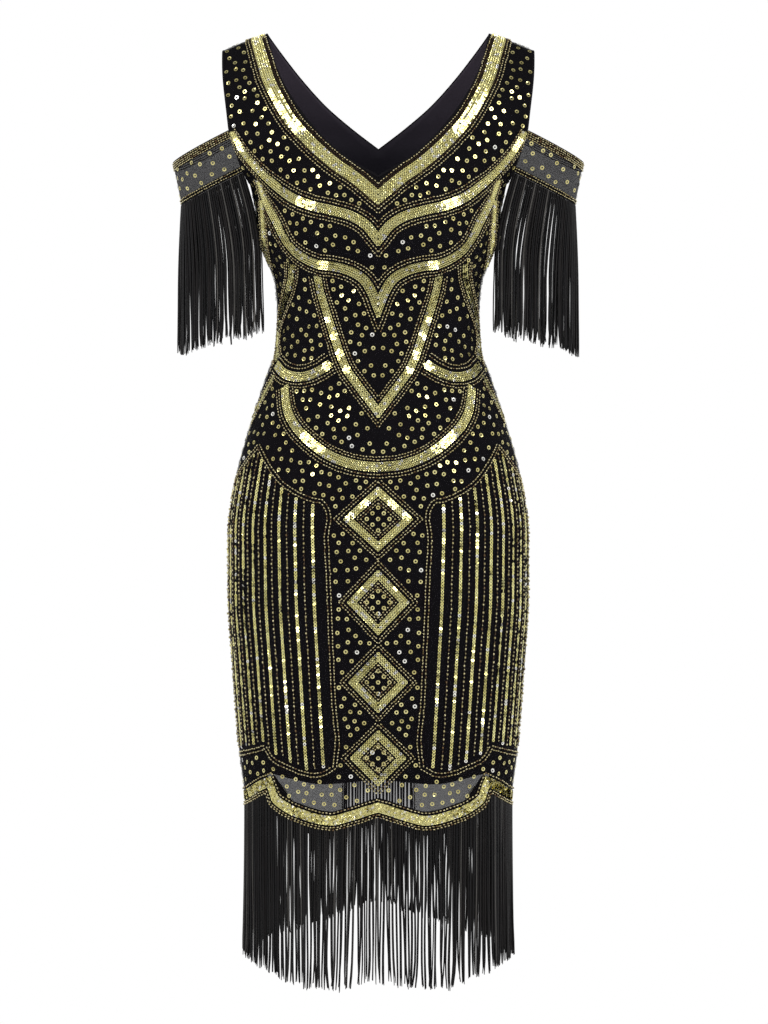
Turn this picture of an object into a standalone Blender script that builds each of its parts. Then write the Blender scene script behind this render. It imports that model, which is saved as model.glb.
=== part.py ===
"""A flapper dress as it hangs when worn, filled out with no wearer.

Metres, +Z up. The origin is the middle of the shoulder line, the front faces -Y and +X is the
right-hand side as seen from the front. The dress is a front and a back of sheer mesh with an opaque
lining inside each, a cold-shoulder strip round each arm, and long fringe under the strips and the hem.
"""

import math
from collections import namedtuple

import bmesh
import bpy

MM = 0.001

# Driving sizes, in millimetres.
WALL = 1.0  # mesh, lining and strips
FRINGE_WALL = 1.6  # header tape and strands
SEAM_GAP = 0.4  # between pieces that are sewn edge to edge
LINING_GAP = 0.3  # between the mesh and the lining
STRIP_GAP = 0.7  # from an armhole edge to the end of a strip
ROUNDNESS = 2.2  # exponent of the rings: 2 is an ellipse
HALF_COLUMNS = 10  # columns of faces from the centre line to the side seam
SHOULDER_TURNS = (13, 26, 39, 52, 64, 76, 86, 90)  # degrees that the cloth has turned, row by row

# The body of the dress as rings: its half width, and its depth before and behind the side seams.
Section = namedtuple("Section", "z half_width front back")
SECTIONS = (
    Section(0, 235, 56, 62),
    Section(-50, 235, 74, 84),
    Section(-105, 230, 93, 97),
    Section(-125, 221, 99, 100),
    Section(-150, 193, 105, 102),
    Section(-167, 174, 109, 102),
    Section(-184, 156, 112, 101),
    Section(-207, 148, 115, 99),
    Section(-244, 146, 117, 95),
    Section(-270, 135, 112, 89),
    Section(-300, 124, 101, 81),
    Section(-343, 121, 91, 75),
    Section(-378, 123, 89, 77),
    Section(-412, 135, 92, 87),
    Section(-461, 151, 97, 103),
    Section(-524, 169, 102, 117),
    Section(-600, 180, 106, 124),
    Section(-672, 180, 106, 122),
    Section(-752, 175, 104, 115),
    Section(-858, 167, 101, 107),
    Section(-925, 160, 99, 102),
    Section(-1150, 160, 99, 102),
)

# The rings that the panels' points lie on, from the lining's hem up to the underarm.
Ring = namedtuple("Ring", "side front_centre back_centre")
RINGS = (
    Ring(-888, -888, -818),
    Ring(-800, -800, -745),
    Ring(-715, -715, -675),
    Ring(-640, -640, -608),
    Ring(-570, -570, -543),
    Ring(-510, -510, -485),
    Ring(-455, -455, -430),
    Ring(-405, -405, -380),
    Ring(-365, -365, -334),
    Ring(-325, -325, -290),
    Ring(-290, -288, -248),
    Ring(-255, -250, -205),
    Ring(-230, -214, -166),
    Ring(-207, -182, -129),
)

# Edges, read from the bottom up. A scallop's share runs from 0 at the centre to 1 at the side seam.
Edge = namedtuple("Edge", "z x")
FRONT_NECK = (
    Edge(-182, 0),
    Edge(-162, 34),
    Edge(-142, 58),
    Edge(-116, 81),
    Edge(-89, 100),
    Edge(-62, 115),
    Edge(-30, 127),
    Edge(0, 134),
)
BACK_NECK = (
    Edge(-129, 0),
    Edge(-102, 36),
    Edge(-78, 65),
    Edge(-48, 94),
    Edge(-21, 117),
    Edge(0, 134),
)
ARMHOLE = (
    Edge(-207, 148),
    Edge(-198, 150),
    Edge(-183, 152),
    Edge(-166, 162),
    Edge(-149, 168),
    Edge(-123, 176),
    Edge(-107, 178),
    Edge(-46, 185),
    Edge(-20, 186),
)
Scallop = namedtuple("Scallop", "share z")
FRONT_HEM = (
    Scallop(0, -935),
    Scallop(0.1, -944),
    Scallop(0.2, -949),
    Scallop(0.4, -933),
    Scallop(0.6, -906),
    Scallop(0.8, -921),
    Scallop(1, -925),
)
BACK_HEM = (
    Scallop(0, -868),
    Scallop(0.06, -873),
    Scallop(0.12, -890),
    Scallop(0.15, -912),
    Scallop(0.18, -945),
    Scallop(0.22, -959),
    Scallop(0.32, -962),
    Scallop(0.45, -948),
    Scallop(0.6, -915),
    Scallop(0.8, -923),
    Scallop(1, -925),
)
HEM_TIPS = (
    Scallop(0, -1121),
    Scallop(0.22, -1133),
    Scallop(0.4, -1127),
    Scallop(0.6, -1113),
    Scallop(0.8, -1106),
    Scallop(1, -1099),
)
HEM_ROWS = 2  # rows of faces between the lining's hem and the scallops
BACK_LIFT = RINGS[0].back_centre - RINGS[0].front_centre  # the back's lining and fringe rise over the seat

# Cold-shoulder strips: heights where they leave the armhole and at the outside of the arm.
StripEdge = namedtuple("StripEdge", "armhole_z outer_z outer_x")
STRIP_TOP = StripEdge(-122, -155, 246)
STRIP_BOTTOM = StripEdge(-164, -203, 238)
STRIP_COLUMNS = 14
STRIP_ROWS = 2
ARM_CENTRE_X = 150

# Fringe: flat strands under a header tape. Shares are parts of one strand's pitch.
TAPE_HEIGHT = 8
HEM_GAP = 0.8  # below the hem, which is steep beside the back's arch
STRAND_SHARE = 0.6
TIP_SHARE = 0.42
HEM_STRANDS = 60  # on the front, and as many on the back; three to each of a panel's columns
SLEEVE_STRANDS = 32  # on each sleeve
HEM_SWAY = 1.0
SLEEVE_SWAY = 0.4
GOLDEN_ANGLE = 2.39996

# Sleeve fringe: how far the strands at the armhole lean in towards the body as they fall, and their tips.
LEAN_DROP = 96
ARMHOLE_LEAN = 27
OUTER_LEAN = -4
ARMHOLE_TIP_Z = -352
OUTER_TIP_Z = -386
TIP_ROUNDING = 0.7  # under 1, the tips fall quickly away from the armhole
FALLS = (0, 0, 0.5, 1)  # a strand's share of its fall at the tape's top, its bottom, mid-strand and tip
LEANS = (0, 0, 0.9, 1)  # its share of its lean at the same places

MESH_BLACK = (0.012, 0.011, 0.014, 1)
LINING_BLACK = (0.006, 0.006, 0.008, 1)
FRINGE_BLACK = (0.009, 0.009, 0.011, 1)


def smooth(table, field, by, where):
    """The field of a table of named rows at a place, as a curve through the rows with no overshoot."""
    rows = sorted(table, key=lambda row: getattr(row, by))
    places = [getattr(row, by) for row in rows]
    values = [getattr(row, field) for row in rows]
    where = min(max(where, places[0]), places[-1])
    last = len(rows) - 2
    i = min(sum(place <= where for place in places) - 1, last)
    slopes = [(values[k + 1] - values[k]) / (places[k + 1] - places[k]) for k in range(last + 1)]

    def tangent(k):
        if k in (0, last + 1):
            return slopes[min(k, last)]
        before, after = slopes[k - 1], slopes[k]
        return 0 if before * after <= 0 else 2 * before * after / (before + after)

    width = places[i + 1] - places[i]
    t = (where - places[i]) / width
    rise = t * t * (3 - 2 * t)
    bend = tangent(i) * t * (1 - t) ** 2 - tangent(i + 1) * t * t * (1 - t)
    return values[i] + rise * (values[i + 1] - values[i]) + width * bend


def ring_angle(x, z):
    """The angle round the ring at this height, from the centre line, that lies at this x."""
    share = min(x / smooth(SECTIONS, "half_width", "z", z), 1)
    return math.asin(share ** (ROUNDNESS / 2))


def ring_point(face, angle, z, roll=1):
    """A point of the dress's outer surface. roll falls from 1 to 0 where the cloth turns over the shoulder."""
    depth = smooth(SECTIONS, face, "z", z) * roll
    across = math.copysign(abs(math.sin(angle)) ** (2 / ROUNDNESS), angle)
    x = smooth(SECTIONS, "half_width", "z", z) * across
    y = depth * max(math.cos(angle), 0) ** (2 / ROUNDNESS) + SEAM_GAP / 2
    return (x, -y if face == "front" else y, z)


def blend(low, high, share):
    return low + (high - low) * share


def ring_row(face, centre_z, side_z):
    """Points from the centre line to the side seam, on a ring that may rise or fall between them."""
    row = []
    for column in range(HALF_COLUMNS + 1):
        angle = math.pi / 2 * column / HALF_COLUMNS
        row.append(ring_point(face, angle, blend(centre_z, side_z, math.sin(angle) ** 2)))
    return row


def hem_height(face, share):
    """The height of a panel's hem at a share of the way round to the side seam."""
    return smooth(FRONT_HEM if face == "front" else BACK_HEM, "z", "share", share)


def tip_height(face, share):
    """The height of the fringe's tips at a share of the way round to the side seam."""
    lift = 0 if face == "front" else BACK_LIFT
    return smooth(HEM_TIPS, "z", "share", share) + lift * math.cos(math.pi / 2 * share) ** 2


def under_hem(face, share, drop, tip_share=0):
    """A point below the hem, straight between the panels' columns, so that the tape fits the panel."""
    place = min(abs(share), 1) * HALF_COLUMNS
    column = min(int(place), HALF_COLUMNS - 1)
    ends = []
    for end in (column / HALF_COLUMNS, (column + 1) / HALF_COLUMNS):
        z = blend(hem_height(face, end) - drop, tip_height(face, end), tip_share)
        ends.append(ring_point(face, math.pi / 2 * end, z))
    x, y, z = (blend(low, high, place - column) for low, high in zip(*ends))
    return (math.copysign(x, share), y, z)


def hem_rows(face):
    """Rows from the scalloped hem up to the lining's hem, without the row at the lining's hem."""
    rows = []
    lining_hem = ring_row(face, getattr(RINGS[0], face + "_centre"), RINGS[0].side)
    for row in range(HEM_ROWS):
        points = []
        for column, above in enumerate(lining_hem):
            share = column / HALF_COLUMNS
            z = blend(hem_height(face, share), above[2], row / HEM_ROWS)
            points.append(ring_point(face, math.pi / 2 * share, z))
        rows.append(points)
    return rows


def shoulder_rows(face):
    """Rows from the neck edge to the armhole edge, from above the underarm up to the shoulder seam."""
    neck = FRONT_NECK if face == "front" else BACK_NECK
    rows = []
    for turn in map(math.radians, SHOULDER_TURNS):
        neck_z = blend(neck[0].z, neck[-1].z, math.sin(turn))
        arm_z = blend(ARMHOLE[0].z, ARMHOLE[-1].z, math.sin(turn))
        neck_angle = ring_angle(smooth(neck, "x", "z", neck_z), neck_z)
        arm_angle = ring_angle(smooth(ARMHOLE, "x", "z", arm_z), arm_z)
        points = []
        for column in range(HALF_COLUMNS + 1):
            share = column / HALF_COLUMNS
            z = blend(neck_z, arm_z, share)
            points.append(ring_point(face, blend(neck_angle, arm_angle, share), z, math.cos(turn)))
        rows.append(points)
    return rows


def panel_rows(face, with_hem):
    rows = hem_rows(face) if with_hem else []
    rows += [ring_row(face, getattr(ring, face + "_centre"), ring.side) for ring in RINGS]
    return rows + shoulder_rows(face)


def sheet_mesh(name, rows, outward):
    """A mesh of quads from rows of points. outward tells which way round its faces point out."""
    mesh = bmesh.new()
    points = [[mesh.verts.new([value * MM for value in point]) for point in row] for row in rows]
    for low, high in zip(points, points[1:]):
        for k in range(len(low) - 1):
            corners = (low[k], low[k + 1], high[k + 1], high[k])
            mesh.faces.new(corners if outward else corners[::-1])
    mesh.normal_update()
    data = bpy.data.meshes.new(name)
    mesh.to_mesh(data)
    mesh.free()
    return data


def move_in(data, rows, columns, distance):
    """Moves a half panel's points in along their normals, kept square to the centre, side and shoulder seams."""
    for i, vertex in enumerate(data.vertices):
        row, column = divmod(i, columns)
        normal = vertex.normal.copy()
        on_ring = row < rows - len(SHOULDER_TURNS)
        if column == 0 and on_ring:
            normal.x = 0
        if (column == columns - 1 and on_ring) or row == rows - 1:
            normal.y = 0
        vertex.co -= normal.normalized() * distance * MM


def solid(name, data, collection, material, wall, mirrored=False):
    """A node: an open sheet given its wall on the inner side, and its other half where it is symmetric."""
    node = bpy.data.objects.new(name, data)
    collection.objects.link(node)
    data.materials.append(material)
    data.shade_smooth()
    if mirrored:
        mirror = node.modifiers.new("Other half", "MIRROR")
        mirror.merge_threshold = 0.0001
    shell = node.modifiers.new("Wall", "SOLIDIFY")
    shell.thickness = wall * MM
    shell.offset = -1
    return node


def fabric(name, colour, roughness):
    material = bpy.data.materials.new(name)
    material.use_nodes = True
    shader = material.node_tree.nodes["Principled BSDF"]
    shader.inputs["Base Color"].default_value = colour
    shader.inputs["Roughness"].default_value = roughness
    shader.inputs["Metallic"].default_value = 0
    return material


def panel(face, collection, material):
    data = sheet_mesh(face + "_panel", panel_rows(face, True), face == "front")
    solid(face + "_panel", data, collection, material, WALL, mirrored=True)


def lining(face, collection, material):
    rows = panel_rows(face, False)
    data = sheet_mesh(face + "_lining", rows, face == "front")
    move_in(data, len(rows), HALF_COLUMNS + 1, WALL + LINING_GAP)
    solid(face + "_lining", data, collection, material, WALL, mirrored=True)


def armhole_point(face, z):
    """The point of a panel's armhole edge at this height, straight between the panel's rows."""
    edge = [ring_row(face, RINGS[-1].side, RINGS[-1].side)[-1]] + [row[-1] for row in shoulder_rows(face)]
    for low, high in zip(edge, edge[1:]):
        if low[2] <= z <= high[2]:
            share = (z - low[2]) / (high[2] - low[2])
            return [blend(a, b, share) for a, b in zip(low, high)]
    raise ValueError("the armhole does not reach this height")


def arm_point(share, edge, drop=0):
    """A point round the outside of the arm: share runs from -1 at the front armhole edge to 1 at the back."""
    end_x, end_y, end_z = armhole_point("front" if share < 0 else "back", edge.armhole_z)
    end_x += STRIP_GAP
    reach = edge.outer_x - ARM_CENTRE_X
    end_angle = math.acos((end_x - ARM_CENTRE_X) / reach)
    angle = abs(share) * end_angle
    x = ARM_CENTRE_X + reach * math.cos(angle)
    y = end_y * math.sin(angle) / math.sin(end_angle)
    fall = (edge.outer_x - x) / (edge.outer_x - end_x)
    return (x, y, blend(edge.outer_z, end_z, fall) - drop)


def strip_edge(share):
    """The strip's edge at this share of its height, from 0 at the bottom to 1 at the top."""
    return StripEdge(*(blend(low, high, share) for low, high in zip(STRIP_BOTTOM, STRIP_TOP)))


def on_side(rows, side):
    return [[(x * side, y, z) for x, y, z in row] for row in rows]


def sleeve_band(side, name, collection, material):
    rows = []
    for row in range(STRIP_ROWS + 1):
        edge = strip_edge(row / STRIP_ROWS)
        rows.append([arm_point(2 * k / STRIP_COLUMNS - 1, edge) for k in range(STRIP_COLUMNS + 1)])
    solid(name, sheet_mesh(name, on_side(rows, side), side > 0), collection, material, WALL)


def fringe_mesh(name, strands, place, outward):
    """A tape cut into strands below. place(share, level, strand) gives a point: level 0 is the tape's top,
    1 its bottom, 2 the middle of the strands and 3 their tips; share runs from -1 to 1."""
    mesh = bmesh.new()
    pitch = 2 / strands
    columns = []
    for strand in range(strands):
        start = pitch * strand - 1
        columns += [start, start + pitch * STRAND_SHARE]
    columns.append(1)

    def vertex(share, level, strand=0):
        return mesh.verts.new([value * MM for value in place(share, level, strand)])

    def face(*corners):
        mesh.faces.new(corners if outward else corners[::-1])

    top = [vertex(share, 0) for share in columns]
    bottom = [vertex(share, 1) for share in columns]
    for k in range(len(columns) - 1):
        face(bottom[k], bottom[k + 1], top[k + 1], top[k])
    for strand in range(strands):
        left, right = bottom[2 * strand : 2 * strand + 2]
        middle = pitch * (strand + STRAND_SHARE / 2) - 1
        for level in (2, 3):
            half = pitch * blend(STRAND_SHARE, TIP_SHARE, (level - 1) / 2) / 2
            low = [vertex(middle - half, level, strand), vertex(middle + half, level, strand)]
            face(low[0], low[1], right, left)
            left, right = low
    mesh.normal_update()
    data = bpy.data.meshes.new(name)
    mesh.to_mesh(data)
    mesh.free()
    return data


def hem_fringe(face, collection, material):
    def place(share, level, strand):
        drop = HEM_GAP + (0 if level == 0 else TAPE_HEIGHT)
        x, y, z = under_hem(face, share, drop, FALLS[level])
        sway = HEM_SWAY * FALLS[level]
        return (x + sway * math.sin(strand * GOLDEN_ANGLE), y, z)

    name = "hem_fringe_" + face
    data = fringe_mesh(name, HEM_STRANDS, place, face == "front")
    solid(name, data, collection, material, FRINGE_WALL)


def sleeve_fringe(side, name, collection, material):
    def place(share, level, strand):
        x, y, z = arm_point(share, STRIP_BOTTOM, drop=SEAM_GAP)
        outside = 1 - abs(share)
        tape_bottom = z - TAPE_HEIGHT
        tip = blend(ARMHOLE_TIP_Z, OUTER_TIP_Z, outside**TIP_ROUNDING)
        z = (z, tape_bottom, tape_bottom - LEAN_DROP, tip)[level]
        lean = blend(ARMHOLE_LEAN, OUTER_LEAN, outside) * LEANS[level]
        sway = SLEEVE_SWAY * FALLS[level]
        return ((x - lean + sway * math.sin(strand * GOLDEN_ANGLE)) * side, y, z)

    solid(name, fringe_mesh(name, SLEEVE_STRANDS, place, side > 0), collection, material, FRINGE_WALL)


def main():
    for old in list(bpy.data.objects):
        bpy.data.objects.remove(old)
    collection = bpy.data.collections.new("flapper dress")
    bpy.context.scene.collection.children.link(collection)
    mesh_cloth = fabric("beaded mesh", MESH_BLACK, 0.75)
    lining_cloth = fabric("lining", LINING_BLACK, 0.6)
    fringe_yarn = fabric("fringe", FRINGE_BLACK, 0.55)
    for face in ("front", "back"):
        panel(face, collection, mesh_cloth)
        lining(face, collection, lining_cloth)
        hem_fringe(face, collection, fringe_yarn)
    for side, word in ((1, "right"), (-1, "left")):
        sleeve_band(side, "sleeve_band_" + word, collection, mesh_cloth)
        sleeve_fringe(side, "sleeve_fringe_" + word, collection, fringe_yarn)


main()
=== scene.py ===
"""The looks of a flapper dress: sheer beaded net over a black lining, sequin bands, beads and long fringe.

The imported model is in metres. Sizes here are in millimetres, like a dressmaker's, and meshes turn them
into metres. +Z is up, the front faces -Y, and x is measured from the centre line to either side.
"""

import math
from collections import namedtuple

import bpy
import numpy as np
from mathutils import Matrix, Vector
from mathutils.bvhtree import BVHTree
from mathutils.geometry import barycentric_transform
from mathutils.kdtree import KDTree


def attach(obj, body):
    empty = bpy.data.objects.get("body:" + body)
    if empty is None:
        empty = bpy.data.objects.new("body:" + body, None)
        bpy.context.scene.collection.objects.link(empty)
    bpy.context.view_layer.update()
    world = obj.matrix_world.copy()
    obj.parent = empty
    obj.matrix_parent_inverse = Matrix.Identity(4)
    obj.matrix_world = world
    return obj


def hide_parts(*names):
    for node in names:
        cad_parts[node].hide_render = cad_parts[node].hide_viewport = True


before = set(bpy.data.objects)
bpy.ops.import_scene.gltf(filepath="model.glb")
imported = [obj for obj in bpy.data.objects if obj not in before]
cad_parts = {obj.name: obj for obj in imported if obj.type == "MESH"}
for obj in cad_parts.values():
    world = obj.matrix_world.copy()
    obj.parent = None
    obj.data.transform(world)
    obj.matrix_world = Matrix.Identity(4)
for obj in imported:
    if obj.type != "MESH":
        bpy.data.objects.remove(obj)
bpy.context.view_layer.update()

MM = 0.001
SIDES = ((1, "right"), (-1, "left"))
FACES = ("front", "back")


def rows_of(kind, *rows):
    """A table of one kind of named rows."""
    return tuple(kind(*row) for row in rows)


# The body of the dress as rings: its half width, and its depth before and behind the side seams.
ROUNDNESS = 2.2  # exponent of the rings: 2 is an ellipse
SEAM_GAP = 0.4
Section = namedtuple("Section", "z half_width front back")
SECTIONS = rows_of(
    Section, (0, 235, 56, 62), (-50, 235, 74, 84), (-105, 230, 93, 97), (-125, 221, 99, 100),
    (-150, 193, 105, 102), (-167, 174, 109, 102), (-184, 156, 112, 101), (-207, 148, 115, 99),
    (-244, 146, 117, 95), (-270, 135, 112, 89), (-300, 124, 101, 81), (-343, 121, 91, 75),
    (-378, 123, 89, 77), (-412, 135, 92, 87), (-461, 151, 97, 103), (-524, 169, 102, 117),
    (-600, 180, 106, 124), (-672, 180, 106, 122), (-752, 175, 104, 115), (-858, 167, 101, 107),
    (-925, 160, 99, 102), (-1150, 160, 99, 102),
)
Ring = namedtuple("Ring", "side front_centre back_centre")
RINGS = rows_of(
    Ring, (-888, -888, -818), (-800, -800, -745), (-715, -715, -675), (-640, -640, -608),
    (-570, -570, -543), (-510, -510, -485), (-455, -455, -430), (-405, -405, -380), (-365, -365, -334),
    (-325, -325, -290), (-290, -288, -248), (-255, -250, -205), (-230, -214, -166), (-207, -182, -129),
)

# Edges, read from the bottom up. A scallop's share runs from 0 at the centre to 1 at the side seam.
Edge = namedtuple("Edge", "z x")
FRONT_NECK = rows_of(
    Edge, (-182, 0), (-162, 34), (-142, 58), (-116, 81), (-89, 100), (-62, 115), (-30, 127), (0, 134),
)
BACK_NECK = rows_of(Edge, (-129, 0), (-102, 36), (-78, 65), (-48, 94), (-21, 117), (0, 134))
ARMHOLE = rows_of(
    Edge, (-207, 148), (-198, 150), (-183, 152), (-166, 162), (-149, 168), (-123, 176), (-107, 178),
    (-46, 185), (-20, 186),
)
Scallop = namedtuple("Scallop", "share z")
HEM_PEAK = 0.6  # the share where two scallops meet in a point
MIDDLE_HEM = rows_of(
    Scallop, (0, -931), (0.1, -940.5), (0.2, -946.5), (0.4, -937), (0.52, -926), (0.575, -918), (0.6, -906),
)
SIDE_HEM = rows_of(Scallop, (0.6, -906), (0.8, -919), (1, -925))
BACK_HEM = rows_of(
    Scallop, (0, -868), (0.06, -871), (0.12, -878), (0.14, -888), (0.15, -953), (0.19, -959), (0.32, -962),
    (0.45, -948), (0.6, -915), (0.8, -923), (1, -925),
)
HEM_TIPS = rows_of(Scallop, (0, -1121), (0.22, -1133), (0.4, -1127), (0.6, -1113), (0.8, -1106), (1, -1099))
LINING_DIP = rows_of(Scallop, (0, 1), (0.25, -5), (0.42, 1), (0.57, 6), (0.63, -14), (1, -22))
BACK_LIFT = RINGS[0].back_centre - RINGS[0].front_centre

# How finely the cloth is made, from the centre line to the side seam and from the hem to the shoulder.
HALF_COLUMNS = 40
HEM_ROWS = 12
RING_ROWS = 96
SHOULDER_ROWS = 32
INSIDE_Z = -500.0  # the height of a point inside the dress
NET_WALL = 0.4
LINING_WALL = 0.6
LINING_DEPTH = 1.3  # from the net's outer side to the lining's

# Cold-shoulder strips: heights where they leave the armhole and at the outside of the arm.
StripEdge = namedtuple("StripEdge", "armhole_z outer_z outer_x")
STRIP_TOP = StripEdge(-122, -155, 246)
STRIP_BOTTOM = StripEdge(-170, -206, 236)
STRIP_GAP = 0.7
STRIP_BACK_RISE = 7.5  # how much higher the top edge meets the back of the armhole than its front
STRIP_COLUMNS = 72
STRIP_ROWS = 12
ARM_CENTRE_X = 150


def blend(low, high, share):
    return low + (high - low) * share


def unit(vectors):
    return vectors / np.linalg.norm(vectors, axis=-1, keepdims=True)


def smooth(table, field, by, where):
    """The field of a table of named rows at a place, as a curve through the rows with no overshoot."""
    rows = sorted(table, key=lambda row: getattr(row, by))
    places = np.array([getattr(row, by) for row in rows], float)
    values = np.array([getattr(row, field) for row in rows], float)
    where = np.clip(where, places[0], places[-1])
    widths = np.diff(places)
    slopes = np.diff(values) / widths
    before, after = slopes[:-1], slopes[1:]
    level = before * after <= 0
    inner = np.where(level, 0, 2 * before * after / np.where(level, 1, before + after))
    tangents = np.concatenate(([slopes[0]], inner, [slopes[-1]]))
    i = np.clip(np.searchsorted(places, where, side="right") - 1, 0, len(widths) - 1)
    t = (where - places[i]) / widths[i]
    bend = tangents[i] * t * (1 - t) ** 2 - tangents[i + 1] * t * t * (1 - t)
    return values[i] + t * t * (3 - 2 * t) * (values[i + 1] - values[i]) + widths[i] * bend


def ring_angle(x, z):
    """The angle round the ring at this height, from the centre line, that lies at this x."""
    return np.arcsin(np.minimum(x / smooth(SECTIONS, "half_width", "z", z), 1) ** (ROUNDNESS / 2))


def ring_points(face, angles, z, roll=1.0):
    """Points of the outer surface. roll falls from 1 to 0 where the cloth turns over the shoulder."""
    x = smooth(SECTIONS, "half_width", "z", z) * np.sin(angles) ** (2 / ROUNDNESS)
    depth = smooth(SECTIONS, face, "z", z) * roll
    y = depth * np.maximum(np.cos(angles), 0) ** (2 / ROUNDNESS) + SEAM_GAP / 2
    return np.stack([x, -y if face == "front" else y, z + 0 * x], axis=-1)


def hem_height(face, share):
    if face == "back":
        return smooth(BACK_HEM, "z", "share", share)
    middle = smooth(MIDDLE_HEM, "z", "share", share)
    return np.where(share < HEM_PEAK, middle, smooth(SIDE_HEM, "z", "share", share))


def tip_height(face, share):
    """The height of the fringe's tips; the back's rise towards the centre over the seat."""
    lift = 0 if face == "front" else BACK_LIFT
    return smooth(HEM_TIPS, "z", "share", share) + lift * np.cos(math.pi / 2 * share) ** 2


def half_grid(face):
    """A panel's outer surface from the centre line to the side seam, as rows from the hem to the shoulder."""
    shares = np.linspace(0, 1, HALF_COLUMNS + 1)
    angles = shares * math.pi / 2
    curve = np.sin(angles) ** 2
    rows = []
    lining_hem = blend(getattr(RINGS[0], face + "_centre"), RINGS[0].side, curve)
    for rise in np.arange(HEM_ROWS) / HEM_ROWS:
        rows.append(ring_points(face, angles, blend(hem_height(face, shares), lining_hem, rise)))
    for side_z in np.linspace(RINGS[0].side, RINGS[-1].side, RING_ROWS + 1):
        centre_z = smooth(RINGS, face + "_centre", "side", side_z)
        rows.append(ring_points(face, angles, blend(centre_z, side_z, curve)))
    neck = FRONT_NECK if face == "front" else BACK_NECK
    for turn in np.radians(np.linspace(0, 90, SHOULDER_ROWS + 1)[1:]):
        neck_z = blend(neck[0].z, neck[-1].z, math.sin(turn))
        arm_z = blend(ARMHOLE[0].z, ARMHOLE[-1].z, math.sin(turn))
        neck_angle = ring_angle(smooth(neck, "x", "z", neck_z), neck_z)
        arm_angle = ring_angle(smooth(ARMHOLE, "x", "z", arm_z), arm_z)
        z = blend(neck_z, arm_z, shares)
        rows.append(ring_points(face, blend(neck_angle, arm_angle, shares), z, math.cos(turn)))
    return np.array(rows)


def grid_normals(grid, inside):
    """Normals of a grid of points, turned away from a point inside it."""
    normals = unit(np.cross(np.gradient(grid, axis=1), np.gradient(grid, axis=0)))
    away = np.sum(normals * (grid - inside), axis=(0, 1, 2))
    return normals * math.copysign(1, away)


def grid_quads(rows, columns, flip=False):
    first = (np.arange(rows - 1)[:, None] * columns + np.arange(columns - 1)).reshape(-1, 1)
    corners = first + np.array([0, 1, columns + 1, columns])
    return corners[:, ::-1] if flip else corners


class HalfPanel:
    """Half of the front or the back, and where things lie on it. The front and back grids match."""

    def __init__(self, face):
        self.face = face
        self.grid = half_grid(face)
        self.normals = grid_normals(self.grid, np.array([0, 0, INSIDE_Z]))
        # The cloth runs on smoothly over the centre line, the side seam and the shoulder line.
        seam = len(self.grid) - SHOULDER_ROWS
        self.normals[:seam, 0, 0] = 0
        self.normals[:seam, -1, 1] = 0
        self.normals[-1, :, 1] = 0
        self.normals = unit(self.normals)
        self.neck_edge = self.grid[seam - 1 :, 0]
        self.armhole_edge = self.grid[seam - 1 :, -1]
        self.hem_edge = self.grid[0]
        rows, columns = self.grid.shape[:2]
        quads = grid_quads(rows, columns)
        self.triangles = np.concatenate([quads[:, [0, 1, 2]], quads[:, [0, 2, 3]]])
        self.corners = [Vector(point) for point in self.grid.reshape(-1, 3)]
        self.corner_normals = [Vector(normal) for normal in self.normals.reshape(-1, 3)]
        self.tree = BVHTree.FromPolygons(self.corners, self.triangles.tolist())

    def triangle(self, index, of):
        return [of[corner] for corner in self.triangles[index]]

    def normal_at(self, point, index):
        here = self.triangle(index, self.corners)
        normal = barycentric_transform(point, *here, *self.triangle(index, self.corner_normals))
        return normal.normalized()

    def nearest(self, points):
        """Points moved onto the cloth, with the cloth's normals there."""
        found = [self.tree.find_nearest(Vector(point)) for point in points]
        normals = [self.normal_at(place, index) for place, _, index, _ in found]
        return np.array([place for place, *_ in found]), np.array(normals)

    def carry_over(self, point, index, other):
        """The other panel's point at the same place of its grid."""
        here = self.triangle(index, self.corners)
        return barycentric_transform(point, *here, *self.triangle(index, other.corners))


CENTRE = np.array([0, 1, 1])
OFF_CENTRE = 0.01  # rays are thrown this far beside the centre line, which is an edge of the cloth
CENTRE_REACH = 0.5  # a line that starts this near the centre line is met there by its mirror image
HEM_LINE_POINTS = 80
BEFORE_PEAK = 0.001  # a line that ends at the peak stops this much short of it
ARCH_SHARE = 0.19  # the back's arch reaches this far from the centre line
LAST_SHARE = 0.985  # the side seam's beading stops just short of the seam

# The beading is laid out on a flat front view of the dress, seen from this far in front of it and this
# high, and thrown onto the cloth. The back takes the same layout, carried over along the cloth's grid.
VIEW_DISTANCE = 4000
VIEW_HEIGHT = -574
MISS_STEPS = 14  # millimetres that a spot just off the outline may move in
LINE_STEP = 2.0
FINER = 8  # places of a finer line for each one of a line

Spot = namedtuple("Spot", "x z")


def curve_through(spots):
    """A smooth line through a few spots, as points a small step apart."""
    spots = np.array(spots, float)
    lengths = np.concatenate(([0], np.cumsum(np.linalg.norm(np.diff(spots, axis=0), axis=1))))
    slopes = np.gradient(spots, lengths, axis=0)
    where = np.linspace(0, lengths[-1], max(3, round(lengths[-1] / LINE_STEP)))
    i = np.clip(np.searchsorted(lengths, where, side="right") - 1, 0, len(spots) - 2)
    width = np.diff(lengths)[i, None]
    t = (where[:, None] - lengths[i, None]) / width
    bend = slopes[i] * t * (1 - t) ** 2 - slopes[i + 1] * t * t * (1 - t)
    return blend(spots[i], spots[i + 1], t * t * (3 - 2 * t)) + width * bend


def flat_view(points):
    """Where points of the cloth lie on the flat front view."""
    nearness = VIEW_DISTANCE / (VIEW_DISTANCE + points[:, 1])
    return np.stack([points[:, 0] * nearness, VIEW_HEIGHT + (points[:, 2] - VIEW_HEIGHT) * nearness], -1)


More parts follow.
